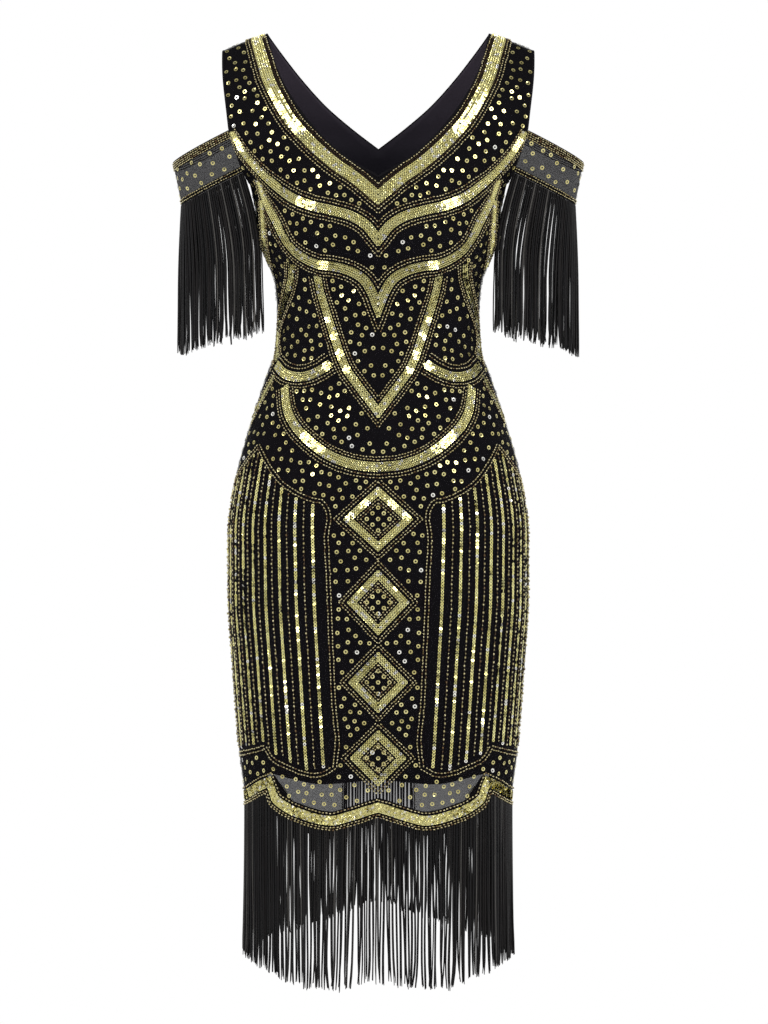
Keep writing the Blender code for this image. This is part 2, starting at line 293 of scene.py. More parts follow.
def throw(line, front, panel):
    """A line of the flat front view thrown onto the front, or carried over from there to the back."""
    eye = Vector((0, -VIEW_DISTANCE, VIEW_HEIGHT))
    points = []
    for x, z in line:
        for step in range(MISS_STEPS):
            point, _, index, _ = front.tree.ray_cast(eye, Vector((max(x, OFF_CENTRE) - step, 0, z)) - eye)
            if point is not None:
                points.append(front.carry_over(point, index, panel) if panel is not front else point)
                break
    return np.array(points)


def distances(points):
    """How far along a line each of its points is."""
    return np.concatenate(([0], np.cumsum(np.linalg.norm(np.diff(points, axis=0), axis=1))))


def resample(table, pitch, start):
    """Rows of numbers, the first three of them a place, read off at places a pitch apart."""
    lengths = distances(table[:, :3])
    where = np.arange(start, lengths[-1], pitch)
    return np.column_stack([np.interp(where, lengths, column) for column in table.T])


def finer(table):
    """A table of places along a line with further ones between them."""
    where = np.linspace(0, len(table) - 1, FINER * len(table))
    return np.column_stack([np.interp(where, np.arange(len(table)), column) for column in table.T])


# A row of sewing places: points of the cloth, its normals, the row's directions, and the way along the trim.
Row = namedtuple("Row", "points normals directions along")


def keep(row, chosen):
    return Row(*(values[chosen] for values in row))


def on_side(row, side):
    turn = np.array([side, 1, 1])
    return Row(row.points * turn, row.normals * turn, row.directions * turn, row.along)


def join_rows(rows):
    return Row(*(np.concatenate(values) for values in zip(*rows)))


def level_directions(points, normals):
    """Directions along a row of points, laid level with the cloth."""
    directions = np.gradient(points, axis=0)
    return unit(directions - normals * np.sum(directions * normals, -1, keepdims=True))


def sewn_row(points, along, panel):
    points, normals = panel.nearest(points)
    return Row(points, normals, level_directions(points, normals), along)


def corner_planes(lines):
    """Where rows are cut: at the centre line and between lines. None where a trim just ends."""
    planes = [None] * (len(lines) + 1)
    for k in range(1, len(lines)):
        last, first = lines[k - 1], lines[k]
        planes[k] = (first[0], unit(last[-1] - last[-2]) + unit(first[1] - first[0]))
    if lines[0][0][0] < CENTRE_REACH:
        planes[0] = (lines[0][0] * CENTRE, np.array([1.0, 0, 0]))
    if lines[-1][-1][0] < CENTRE_REACH:
        planes[-1] = (lines[-1][-1] * CENTRE, np.array([-1.0, 0, 0]))
    return planes


def lengthened(line, before, after):
    """A line drawn on straight past its ends."""
    parts = [line]
    if before:
        spare = np.arange(LINE_STEP, before, LINE_STEP)[::-1, None]
        parts.insert(0, line[0] - spare * unit(line[1] - line[0]))
    if after:
        spare = np.arange(LINE_STEP, after, LINE_STEP)[:, None]
        parts.append(line[-1] + spare * unit(line[-1] - line[-2]))
    return np.concatenate(parts)


def rows_beside(lines, offsets, pitch, panel, narrow=1):
    """Rows along a trim's lines, at offsets to their left, mitred where lines meet and at the centre line."""
    planes = corner_planes(lines)
    hand = 1 if panel.face == "front" else -1
    reach = 2 * max(abs(offset) for offset in offsets) + LINE_STEP
    rows, along = [], 0
    for line, start, end in zip(lines, planes, planes[1:]):
        longer = lengthened(line, reach if start else 0, reach if end else 0)
        normals = panel.nearest(longer)[1]
        sideways = hand * unit(np.cross(normals, np.gradient(longer, axis=0)))
        ways = along + distances(longer)
        along = ways[-1]
        widening = blend(narrow, 1, np.clip(ways / NARROW_LENGTH, 0, 1))
        for number, offset in enumerate(offsets):
            table = finer(np.column_stack([longer + sideways * (offset * widening)[:, None], ways]))
            for plane, sign in ((start, 1), (end, -1)):
                if plane:
                    table = table[sign * (table[:, :3] - plane[0]) @ plane[1] >= 0]
            if len(table) > 1:
                # Neighbouring rows start a quarter of a pitch apart.
                lead = pitch * (1 + number % 2) / 4
                if end and not start:
                    lead = (distances(table[:, :3])[-1] - lead) % pitch
                table = resample(table, pitch, lead)
            if len(table) > 1:
                rows.append(sewn_row(table[:, :3], table[:, 3], panel))
    return rows


def drawn_lines(stretches, front, panel):
    return [throw(curve_through(stretch), front, panel) for stretch in stretches]


def hem_line(panel, first, last):
    shares = np.linspace(first, last, HEM_LINE_POINTS)
    return ring_points(panel.face, shares * math.pi / 2, hem_height(panel.face, shares))


def hem_lines(panel):
    """The hem that carries the band, as two lines that meet at its peak. The back's leave out the arch."""
    start = 0 if panel.face == "front" else ARCH_SHARE
    return [hem_line(panel, start, HEM_PEAK - BEFORE_PEAK), hem_line(panel, HEM_PEAK, LAST_SHARE)]


# Trims. A band is rows of small overlapping sequins with rows of beads beside it.
NARROW_LENGTH = 60  # how far a band takes to reach its full width
Sequins = namedtuple("Sequins", "radius hole pitch row_step jitter")  # a hole is long and wide
NECK_SEQUINS = Sequins(1.5, (1.05, 0.72), 3.0, 2.8, 0.1)
BAND_SEQUINS = Sequins(1.5, (1.12, 0.82), 3.0, 2.8, 0.1)
SHIELD_SEQUINS = Sequins(1.8, (1.2, 0.92), 3.6, 3.2, 0.15)
DIAMOND_SEQUINS = Sequins(1.68, (1.2, 0.82), 3.3, 2.9, 0.12)
HEM_SEQUINS = Sequins(1.2, (0.55, 0.42), 1.8, 1.5, 0.18)
STRIPE_SEQUINS = Sequins(2.0, (1.0, 0.85), 3.6, 0, 0.16)
RING_SEQUINS = Sequins(2.5, (1.15, 1.15), 0, 0, 0.1)
Beads = namedtuple("Beads", "length radius pitch other_size", defaults=(1,))  # size of every other bead
BAND_BEADS = Beads(1.9, 0.78, 3.8)
HEM_BEADS = Beads(2.0, 0.9, 4.4)
OUTLINE_BEADS = Beads(2.2, 0.8, 3.9)
STRIPE_BEADS = Beads(2.4, 1.05, 4.8, 0.62)
STRIP_BEADS = Beads(1.9, 0.65, 3.3)
# The brown beads are a darkened copy of the gold beads: painted shade beside the neck band's sequins.
PAINTED_SHADE_BEADS = Beads(1.7, 0.65, 2.5)
THREAD_RADIUS = 0.6
THREAD_REACH = 1.5  # threads join beads up to this many pitches apart

# Rows of sequins along a line, how far bead rows lie from the sequins' edge on each side, and the share
# of its full width that the band has at the line's start.
Band = namedtuple("Band", "line sequins rows beads_left beads_right narrow")
NECK_BAND = rows_of(
    Spot, (148, -1), (140, -28), (132, -54), (121, -77), (106, -102), (83, -128), (54, -154), (26, -174),
    (0, -196),
)
SHOULDER_BAND = rows_of(
    Spot, (176, -118), (159, -146), (142, -165), (123, -182), (102, -197), (83, -205), (54, -212),
    (31, -219), (16, -228), (0, -247),
)
BUST_BAND = rows_of(
    Spot, (144, -176), (136, -199), (121, -228), (112, -246), (102, -259), (87, -270), (73, -276),
    (52, -279), (32, -285), (18, -294), (8, -309), (0, -329),
)
UNDERARM_BAND = rows_of(Spot, (140, -200), (138, -230), (136, -256), (129, -280))
RIB_BAND = rows_of(
    Spot, (104, -276), (104, -290), (107, -305), (112, -322), (117, -340), (120, -362), (121, -392),
)
SHIELD_BAND = rows_of(
    Spot, (73, -290), (69, -310), (63, -330), (51, -368), (44, -389), (37, -404), (27, -418), (0, -454),
)
WAIST_BAND = rows_of(Spot, (122, -397), (113, -407), (102, -411), (88, -411), (74, -406), (56, -395))
HIP_EDGE_BAND = rows_of(Spot, (125, -410), (142, -444), (152, -466))
BOWL_BAND = rows_of(
    Spot, (112, -423), (111, -437), (108, -454), (101, -468), (83, -488), (58, -506), (27, -517), (0, -520),
)
BESIDE = (3.2, 7.0)
CLOSE_BESIDE = (2.7, 5.9)
BANDS = (
    Band(NECK_BAND, NECK_SEQUINS, 5, (3.3, 7.3), (5.2,), 0.9),
    Band(SHOULDER_BAND, BAND_SEQUINS, 4, BESIDE, BESIDE, 0.45),
    Band(BUST_BAND, BAND_SEQUINS, 4, BESIDE, BESIDE, 0.7),
    Band(SHIELD_BAND, SHIELD_SEQUINS, 3, CLOSE_BESIDE, CLOSE_BESIDE, 1),
    Band(RIB_BAND, SHIELD_SEQUINS, 3, CLOSE_BESIDE, CLOSE_BESIDE, 1),
    Band(UNDERARM_BAND, BAND_SEQUINS, 3, CLOSE_BESIDE, CLOSE_BESIDE, 1),
    Band(WAIST_BAND, BAND_SEQUINS, 4, BESIDE, (4.2, 8.6), 1),
    Band(BOWL_BAND, BAND_SEQUINS, 4, BESIDE, CLOSE_BESIDE, 1),
    Band(HIP_EDGE_BAND, BAND_SEQUINS, 2, (3.2,), (3.2,), 1),
)
HEM_BAND_ROWS = 7
HEM_BAND_INSET = 11.2  # from the hem's edge to the middle of the band
HEM_BEAD_INSETS = {"front": (3.0, 0.4, 19.8), "back": (3.0, 0.4)}
ARCH_BEAD_INSET = 2.6
Diamond = namedtuple("Diamond", "z half_width half_height")
DIAMONDS = rows_of(Diamond, (-582, 43, 39.5), (-682, 38, 40), (-778, 36.5, 37.5), (-869, 34.5, 34.5))
DIAMOND_ROWS = 3
DIAMOND_RING_STEP = 6.8
DIAMOND_BEAD_INSETS = (-3.6, -7.0, 11.6, 14.8)

# The hip panel: an outline of beads round upright stripes that end at it.
HIP_PEAK = Spot(143, -494)
HIP_INNER_TOP = rows_of(
    Spot, HIP_PEAK, (135, -511), (125, -527), (113, -541), (96, -552), (79, -559), (67, -562), (61, -571),
    (62, -605), (60, -646), (56, -742), (52, -817), (49, -848), (52, -880),
)
HIP_BOTTOM = rows_of(Spot, (52, -880), (70, -889), (86, -888), (107, -880), (126, -870), (135, -856))
HIP_SIDE_BOTTOM = rows_of(Spot, (135, -856), (150, -860), (168, -864))
HIP_SIDE_TOP = rows_of(Spot, (180, -560), (171, -535), (163, -521), (154, -508), HIP_PEAK)
STRIPES = 9
Stripe = namedtuple("Stripe", "z first step")  # shares of the way round from the centre to the side seam
STRIPE_TOP = Stripe(-577, 0.266, 0.0865)
STRIPE_BOTTOM = Stripe(-865, 0.238, 0.089)
STRIPE_MARGIN = 5
STRIPE_TOP_Z = -480
STRIPE_BOTTOM_Z = -900
SIDE_MARGIN_X = 200  # further out than any side seam
HIP_BEAD_OFFSETS = (-2.2, 2.2)

# How close sewn things may come, how they tilt and how far they stand off the cloth.
SEQUIN_SPACE = 1.6
BEAD_SPACE = 2.3
BROWN_SPACE = 1.2
HEM_SPACE = 1.0
BROWN_MARGIN = 2.5  # from a band's outermost sequins to the brown beads, which are painted shade
BROWN_ROW = 1.9
RING_SPACE = 9.6
RING_CLEARANCE = 4.6
RING_TRIES = 20000
BACK_RINGS_Z = -880  # the back's bare net has none below this
NECK_MARGIN, ARMHOLE_MARGIN, HEM_MARGIN = 18, 4, 8
RING_SIDES, SEQUIN_SIDES = 14, 8
BEAD_SIDES, BROWN_SIDES, THREAD_SIDES = 6, 4, 3
SEQUIN_CUP = 0.15
RING_CUP = 0.2
SEQUIN_LIFT = 0.55
RING_LIFT = 0.45
BEAD_LIFT = 0.9
THREAD_LIFT = 0.4
SCALE_SLOPE = 0.14
STRETCH_SLOPE = 0.11
STRETCH_LENGTHS = (12, 55)
STRETCHES = 60
BEAD_SLOPE = 0.08
BEAD_WANDER = 0.22

# Stretches of trim that mirror a softbox: places on the flat front view, and how far round them.
Flash = namedtuple("Flash", "x z reach")
STREAK_STEPS = 11


def streak(start, end, reach):
    """Flashes in a line, as where light runs along the edge of a band."""
    return [Flash(*place, reach) for place in np.linspace(start, end, STREAK_STEPS)]


FLASHES = rows_of(
    Flash, *streak((118, -64), (98, -102), 3.4), *streak((130, -70), (107, -105), 3.4), (97, -111, 9.5),
    (166, -132, 9), (88, -203, 12), (66, -278, 7), (60, -342, 4), (54, -362, 4.5), (47, -385, 6),
    (38, -403, 4), (60, -399, 7), (84, -485, 10), (72, -495, 9), (20, -562, 8), (34, -578, 5),
    (24, -664, 6),
)
RING_FLASHES = rows_of(
    Flash, *streak((160, -84), (70, -172), 17), (33, -313, 15), (53, -448, 20), (85, -514, 18),
)
STRIPE_FLASHES = rows_of(Flash, (80, -590, 50), (72, -690, 45), (80, -790, 60))
FLASH_SHARE = 0.9  # of the sequins within reach
STRIPE_FLASH_SHARE = 0.14
RING_FLASH_SHARE = 0.66
FLASH_JITTER = 0.03
FLASH_CUP = 0.1  # they lie flatter than the others
BESIDE_ARM_X, BESIDE_ARM_Z = 115, -320  # sequins further out and higher up lie forward, by this slope
FORWARD_LAY = 1.3


def diamond_stretches(diamond, inset):
    """The right half of a diamond whose sides lie this far inside its own."""
    width, height = diamond.half_width, diamond.half_height
    depth = width * height / math.hypot(width, height)
    scale = 1 - inset / depth
    top, bottom = (Spot(0, diamond.z + sign * height * scale) for sign in (1, -1))
    corner = Spot(width * scale, diamond.z)
    return (top, corner), (corner, bottom)


def inside_outline(outline, spots):
    """Which spots of the flat front view lie inside a closed outline."""
    inside = np.zeros(len(spots), bool)
    for (x0, z0), (x1, z1) in zip(outline, outline[1:] + outline[:1]):
        if z0 == z1:
            continue
        crosses = (z0 > spots[:, 1]) != (z1 > spots[:, 1])
        inside ^= crosses & (spots[:, 0] < x0 + (spots[:, 1] - z0) / (z1 - z0) * (x1 - x0))
    return inside


def smooth_outline(stretches):
    return [tuple(spot) for stretch in stretches for spot in curve_through(stretch)]


HIP_OUTLINE = smooth_outline((HIP_INNER_TOP, HIP_BOTTOM, HIP_SIDE_BOTTOM))
HIP_OUTLINE += [(SIDE_MARGIN_X, HIP_SIDE_BOTTOM[-1].z), (SIDE_MARGIN_X, HIP_SIDE_TOP[0].z)]
HIP_OUTLINE += smooth_outline((HIP_SIDE_TOP,))


def stripe_line(number):
    """An upright line round the hip, at a near constant share of the way to the side seam."""
    z = np.arange(STRIPE_TOP_Z, STRIPE_BOTTOM_Z, -LINE_STEP)
    down = (z - STRIPE_TOP.z) / (STRIPE_BOTTOM.z - STRIPE_TOP.z)
    top = STRIPE_TOP.first + STRIPE_TOP.step * number
    bottom = STRIPE_BOTTOM.first + STRIPE_BOTTOM.step * number
    share = np.clip(blend(top, bottom, down), 0, LAST_SHARE)
    x = smooth(SECTIONS, "half_width", "z", z) * np.sin(share * math.pi / 2) ** (2 / ROUNDNESS)
    line = np.column_stack([x, z])
    line = line[inside_outline(HIP_OUTLINE, line)]
    lengths = distances(line)
    return line[(lengths > STRIPE_MARGIN) & (lengths < lengths[-1] - STRIPE_MARGIN)]


def stripe_rows(numbers, pitch, front, panel):
    """Rows up and down the hip panel, at numbers that may lie half way between two stripes."""
    rows = []
    for number in numbers:
        line = throw(stripe_line(number), front, panel)
        table = resample(np.column_stack([line, distances(line)]), pitch, 0)
        rows.append(sewn_row(table[:, :3], table[:, 3], panel))
    return rows


class Sewn:
    """The places that are taken on a panel, so that nothing is sewn over something else."""

    def __init__(self):
        self.points = np.empty((0, 3))

    def add(self, rows):
        self.points = np.concatenate([self.points] + [row.points for row in rows])

    def clear(self, points, distance):
        if not len(self.points):
            return np.ones(len(points), bool)
        tree = KDTree(len(self.points))
        for i, point in enumerate(self.points):
            tree.insert(point, i)
        tree.balance()
        return np.array([tree.find(point)[2] >= distance for point in points])

    def sew(self, rows, distance):
        """Keeps the places of new rows that are free, and takes them."""
        kept = [keep(row, self.clear(row.points, distance)) for row in rows]
        kept = [row for row in kept if len(row.points)]
        self.add(kept)
        return kept


# Sets of rows of one kind of sequins or beads; the stretches of a set of sequins catch the light together.
Sewing = namedtuple("Sewing", "kind rows")
Beading = namedtuple("Beading", "sequins beads brown rings")


def centred(count, step):
    return (np.arange(count) - (count - 1) / 2) * step


def band_beads(band, lines, panel):
    """The gold bead rows beside a band, and next to its sequins the brown ones, which are painted shade."""
    edge = (band.rows - 1) / 2 * band.sequins.row_step
    rim = edge + band.sequins.radius
    offsets = [rim + beside for beside in band.beads_left] + [-rim - beside for beside in band.beads_right]
    gold = rows_beside(lines, offsets, BAND_BEADS.pitch, panel, band.narrow)
    if band.line is not NECK_BAND:
        return gold, []
    close = edge + BROWN_MARGIN
    insets = (close, -close, -close - BROWN_ROW)
    return gold, rows_beside(lines, insets, PAINTED_SHADE_BEADS.pitch, panel, band.narrow)


def diamond_rows(insets, pitch, diamond, front, panel):
    rows = []
    for inset in insets:
        lines = drawn_lines(diamond_stretches(diamond, inset), front, panel)
        rows += rows_beside(lines, (0,), pitch, panel)
    return rows


def lay_out_beading(front, panel, random):
    """Everything that is sewn on the right half of a panel."""
    sewn = Sewn()
    band_lines = [drawn_lines((band.line,), front, panel) for band in BANDS]
    sequins = []
    for band, lines in zip(BANDS, band_lines):
        offsets = centred(band.rows, band.sequins.row_step)
        rows = rows_beside(lines, offsets, band.sequins.pitch, panel, band.narrow)
        sequins.append(Sewing(band.sequins, sewn.sew(rows, SEQUIN_SPACE)))
    insets = DIAMOND_SEQUINS.radius + DIAMOND_SEQUINS.row_step * np.arange(DIAMOND_ROWS)
    for diamond in DIAMONDS:
        rows = diamond_rows(insets, DIAMOND_SEQUINS.pitch, diamond, front, panel)
        sequins.append(Sewing(DIAMOND_SEQUINS, sewn.sew(rows, SEQUIN_SPACE)))
    hem = hem_lines(panel)
    insets = HEM_BAND_INSET + centred(HEM_BAND_ROWS, HEM_SEQUINS.row_step)
    rows = rows_beside(hem, insets, HEM_SEQUINS.pitch, panel)
    sequins.append(Sewing(HEM_SEQUINS, sewn.sew(rows, HEM_SPACE)))
    for row in sewn.sew(stripe_rows(range(STRIPES), STRIPE_SEQUINS.pitch, front, panel), SEQUIN_SPACE):
        sequins.append(Sewing(STRIPE_SEQUINS, [row]))

    band_gold, brown = [], []
    for band, lines in zip(BANDS, band_lines):
        gold, close = band_beads(band, lines, panel)
        band_gold += sewn.sew(gold, BEAD_SPACE)
        brown += sewn.sew(close, BROWN_SPACE)
    for diamond in DIAMONDS:
        rows = diamond_rows(DIAMOND_BEAD_INSETS, BAND_BEADS.pitch, diamond, front, panel)
        band_gold += sewn.sew(rows, BEAD_SPACE)
    outline = []
    for line in (HIP_INNER_TOP, HIP_BOTTOM, HIP_SIDE_BOTTOM, HIP_SIDE_TOP):
        rows = rows_beside(drawn_lines((line,), front, panel), HIP_BEAD_OFFSETS, OUTLINE_BEADS.pitch, panel)
        outline += sewn.sew(rows, BEAD_SPACE)
    between = stripe_rows(np.arange(STRIPES) + 0.5, STRIPE_BEADS.pitch, front, panel)
    rows = rows_beside(hem, HEM_BEAD_INSETS[panel.face], HEM_BEADS.pitch, panel)
    if panel.face == "back":
        rows += rows_beside([hem_line(panel, 0, ARCH_SHARE)], (ARCH_BEAD_INSET,), HEM_BEADS.pitch, panel)
    beads = [
        Sewing(BAND_BEADS, band_gold),
        Sewing(HEM_BEADS, sewn.sew(rows, BEAD_SPACE)),
        Sewing(OUTLINE_BEADS, outline),
        Sewing(STRIPE_BEADS, sewn.sew(between, BEAD_SPACE)),
    ]
    return Beading(sequins, beads, brown, scatter_rings(front, panel, sewn, random))


def diamond_ring_spots():
    """Three by three ring sequins in each diamond, on its slant. The middle ones are on the centre line."""
    spots = []
    for diamond in DIAMONDS:
        for across in (-1, 0, 1):
            for along in (-1, 0, 1):
                x = (across - along) * DIAMOND_RING_STEP
                if x >= 0:
                    spots.append((x, diamond.z + (across + along) * DIAMOND_RING_STEP))
    return spots


def inside_diamonds(spots):
    inside = np.zeros(len(spots), bool)
    for diamond in DIAMONDS:
        away = np.abs(spots - [0, diamond.z]) / [diamond.half_width, diamond.half_height]
        inside |= away.sum(axis=1) < 1
    return inside


def scatter_rings(front, panel, sewn, random):
    """Ring sequins a fair distance apart on the plain stretches of a half panel, clear of every trim."""
    rows, columns = front.grid.shape[:2]
    quads = grid_quads(rows, columns)
    corners = panel.grid.reshape(-1, 3)[quads]
    areas = np.linalg.norm(np.cross(corners[:, 1] - corners[:, 0], corners[:, 3] - corners[:, 0]), axis=1)
    chosen = quads[random.choice(len(quads), RING_TRIES, p=areas / areas.sum())]
    u, v = random.random((2, RING_TRIES, 1))

    def read(grid):
        a, b, c, d = (grid.reshape(-1, 3)[chosen[:, k]] for k in range(4))
        return blend(blend(a, b, u), blend(d, c, u), v)

    points, spots = read(panel.grid), flat_view(read(front.grid))
    fine = ~inside_outline(HIP_OUTLINE, spots) & ~inside_diamonds(spots)
    fine &= (points[:, 0] > RING_SPACE / 2) & sewn.clear(points, RING_CLEARANCE)
    if panel.face == "back":
        fine &= points[:, 2] > BACK_RINGS_Z
    margins = (NECK_MARGIN, ARMHOLE_MARGIN, HEM_MARGIN)
    for edge, margin in zip((panel.neck_edge, panel.armhole_edge, panel.hem_edge), margins):
        gaps = np.linalg.norm(points[:, None] - edge[None], axis=2).min(1)
        fine &= gaps > margin
    taken = []
    for point in points[fine]:
        if all(np.linalg.norm(point - other) > RING_SPACE for other in taken):
            taken.append(point)
    inner = throw(diamond_ring_spots(), front, panel)
    points, normals = panel.nearest(np.concatenate([np.array(taken), inner]))
    directions = np.tile([0.0, 0, 1], (len(points), 1))
    return Row(points, normals, unit(directions - normals * normals[:, 2:]), np.zeros(len(points)))


# Meshes.
MERGE_REACH = 0.1


def new_piece(name, points, faces, material, slot, uv=None):
    """A mesh of quads that rides on the dress. uv gives every corner of every quad its flat place."""
    data = bpy.data.meshes.new(name)
    data.from_pydata((points * MM).tolist(), [], faces.tolist())
    if uv is not None:
        data.uv_layers.new(name="flat").data.foreach_set("uv", (uv * MM).ravel())
    data.shade_smooth()
    data.materials.append(material)
    piece = bpy.data.objects.new(name, data)
    bpy.context.scene.collection.objects.link(piece)
    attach(piece, "root")
    return piece


def cloth_piece(name, grid, material, slot, wall, flip, mirrored=False):
    """A sheet of cloth from a grid of points, with its wall on the inner side."""
    across = np.linalg.norm(np.diff(grid, axis=1), axis=2).cumsum(1)
    along = np.linalg.norm(np.diff(grid, axis=0), axis=2).mean(1).cumsum()
    u = np.pad(across, ((0, 0), (1, 0)))
    v = np.repeat(np.pad(along, (1, 0))[:, None], grid.shape[1], axis=1)
    quads = grid_quads(*grid.shape[:2], flip)
    uv = np.stack([u, v], -1).reshape(-1, 2)[quads]
    piece = new_piece(name, grid.reshape(-1, 3), quads, material, slot, uv)
    return thicken(piece, wall, mirrored)


def thicken(piece, wall, mirrored):
    """Gives a sheet its wall, and its other half where it is only one half."""
    if mirrored:
        mirror = piece.modifiers.new("Other half", "MIRROR")
        mirror.merge_threshold = MERGE_REACH * MM
    shell = piece.modifiers.new("Wall", "SOLIDIFY")
    shell.thickness = wall * MM
    shell.offset = -1
    return piece


def stamp(template, faces, rows, axes, lift):
    """Points and faces of copies of a small shape, one at each place of a row, lifted off the cloth."""
    origins = rows.points + rows.normals * lift
    points = origins[:, None] + np.einsum("pk,nkj->npj", template, axes)
    starts = np.arange(len(origins))[:, None, None] * len(template)
    return points.reshape(-1, 3), (faces[None] + starts).reshape(-1, faces.shape[1])


def tilted_axes(row, forward, sideways):
    """Axes of small things on the cloth: along the row, across it, and out, tilted by two slopes."""
    across = np.cross(row.normals, row.directions)
    out = unit(row.normals + forward[:, None] * row.directions + sideways[:, None] * across)
    along = unit(row.directions - out * np.sum(row.directions * out, -1, keepdims=True))
    return np.stack([along, np.cross(out, along), out], 1)


def circle(sides):
    """A circle's corners, their numbers, and the number of the corner after each."""
    angles = np.arange(sides) / sides * math.tau
    numbers = np.arange(sides)
    return np.column_stack([np.cos(angles), np.sin(angles)]), numbers, (numbers + 1) % sides


def ring_shape(kind, sides, cup):
    """A flat ring a little cupped towards its rim, as points and quads."""
    rim, k, after = circle(sides)
    inner = np.column_stack([rim * kind.hole, np.zeros(sides)])
    outer = np.column_stack([rim * kind.radius, np.full(sides, cup)])
    return np.concatenate([inner, outer]), np.column_stack([k, k + sides, after + sides, after])


def bead_shape(length, radius, sides=BEAD_SIDES):
    """A bead along its row, as points and quads. One with three sides, a thread, has open ends."""
    rim, k, after = circle(sides)
    rim = np.column_stack([np.zeros(sides), rim]) * radius
    half = np.array([length / 2, 0, 0])
    faces = [np.column_stack([k, after, after + sides, k + sides])]
    for first in range(1, sides - 2, 2):
        end = np.array([[0, first, first + 1, first + 2]])
        faces += [end[:, ::-1], end + sides]
    return np.concatenate([rim - half, rim + half]), np.concatenate(faces)


def threads(row, pitch):
    """The thread that shows between neighbouring beads of a row, as places half way between them."""
    near = np.linalg.norm(np.diff(row.points, axis=0), axis=1) < THREAD_REACH * pitch
    return keep(Row(*((values[:-1] + values[1:]) / 2 for values in row)), near)


def stretch_tilts(along, random):
    """Slopes forward and sideways of the sequins of a trim, in stretches that catch the light together."""
    ends = np.cumsum(random.uniform(*STRETCH_LENGTHS, STRETCHES))
    slopes = random.normal(0, STRETCH_SLOPE, (STRETCHES + 1, 2))
    return slopes[np.searchsorted(ends, along)]


def joined(shapes):
    """Several (points, faces) as one."""
    counts = np.cumsum([0] + [len(points) for points, _ in shapes])
    faces = [faces + start for (_, faces), start in zip(shapes, counts)]
    return np.concatenate([points for points, _ in shapes]), np.concatenate(faces)


def mirror_way(points):
    """Where sequins have to face to throw the light of the softbox on their side to the viewer."""
    sides = np.sign(points[:, :1]) * [1, 0, 0] + [0, 1, 1]
    light = unit(np.array(SOFTBOX) / MM * sides - points)
    return unit(light + unit(np.array(CAMERA_PLACE) / MM - points))


def flashed(axes, row, flashes, share, random):
    """Turns the sequins of a row on the front that lie in stretches where they mirror the softbox."""
    spots = flat_view(row.points)
    shines = np.zeros(len(spots), bool)
    for flash in flashes:
        shines |= np.hypot(np.abs(spots[:, 0]) - flash.x, spots[:, 1] - flash.z) < flash.reach
    shines &= (random.random(len(spots)) < share) & (row.normals[:, 1] < 0)
    bright = keep(row, shines)
    wobble = random.normal(0, FLASH_JITTER, (2, len(bright.along)))
    turned = tilted_axes(bright._replace(normals=mirror_way(bright.points)), *wobble)
    axes[shines] = turned * [[1], [1], [FLASH_CUP]]
    return axes


def laid_forward(row):
    """A row whose sequins beside the arms lie a little more to the front, or to the back, than the cloth."""
    beside = (np.abs(row.points[:, 0]) > BESIDE_ARM_X) & (row.points[:, 2] > BESIDE_ARM_Z)
    forward = np.sign(row.normals[:, 1:2]) * np.array([0, FORWARD_LAY, 0])
    return row._replace(normals=unit(row.normals + forward * beside[:, None]))


def sequin_piece(face, beading, material, random):
    shapes = []
    for kind, rows in beading.sequins:
        template, faces = ring_shape(kind, SEQUIN_SIDES, SEQUIN_CUP)
        flashes = (STRIPE_FLASHES, STRIPE_FLASH_SHARE) if kind is STRIPE_SEQUINS else (FLASHES, FLASH_SHARE)
        for side, _ in SIDES:
            row = laid_forward(on_side(join_rows(rows), side))
            tilts = stretch_tilts(row.along, random) + random.normal(0, kind.jitter, (len(row.along), 2))
            axes = tilted_axes(row, SCALE_SLOPE + tilts[:, 0], tilts[:, 1])
            shapes.append(stamp(template, faces, row, flashed(axes, row, *flashes, random), SEQUIN_LIFT))
    return new_piece(face + "_sequins", *joined(shapes), material, "sequins")


def ring_piece(name, row, material, random):
    tilts = random.normal(0, RING_SEQUINS.jitter, (len(row.along), 2))
    template, faces = ring_shape(RING_SEQUINS, RING_SIDES, RING_CUP)
    axes = flashed(tilted_axes(row, *tilts.T), row, RING_FLASHES, RING_FLASH_SHARE, random)
    return new_piece(name, *stamp(template, faces, row, axes, RING_LIFT), material, "sequins")


def bead_pieces(name, sewings, brown, materials, random):
    """Beads on their threads: the gold ones as one piece, the threads and brown beads as another. The brown
    beads are painted shade, and the threads are darkened as painted shade between the beads.
    """
    gold, dark = [], []
    for kind, rows in sewings:
        link = kind.pitch - kind.length + 2 * THREAD_RADIUS
        strung = [threads(row, kind.pitch) for row in rows]
        for shapes, kept, template, lift in (
            (gold, rows, bead_shape(kind.length, kind.radius), BEAD_LIFT),
            (dark, strung, bead_shape(link, THREAD_RADIUS, THREAD_SIDES), THREAD_LIFT),
        ):
            row = join_rows(kept)
            tilts = random.normal(0, BEAD_SLOPE, (2, len(row.along)))
            row = row._replace(points=row.points + random.normal(0, BEAD_WANDER, row.points.shape))
            axes = tilted_axes(row, *tilts)
            if shapes is gold:
                axes[np.round(row.along / kind.pitch) % 2 == 1] *= kind.other_size
            shapes.append(stamp(*template, row, axes, lift))
    if brown:
        row = both_sides(join_rows(brown))
        tilts = random.normal(0, BEAD_SLOPE, (2, len(row.along)))
        template = bead_shape(PAINTED_SHADE_BEADS.length, PAINTED_SHADE_BEADS.radius, BROWN_SIDES)
        dark.append(stamp(*template, row, tilted_axes(row, *tilts), BEAD_LIFT))
    return [
        new_piece(name, *joined(gold), materials["beads"], "beads"),
        new_piece(name + "_threads", *joined(dark), materials["brown"], "beads"),
    ]


def both_sides(row):
    return join_rows([on_side(row, side) for side, _ in SIDES])


def sewings_on_both_sides(sewings):
    return [Sewing(kind, [on_side(row, side) for row in rows for side, _ in SIDES]) for kind, rows in sewings]


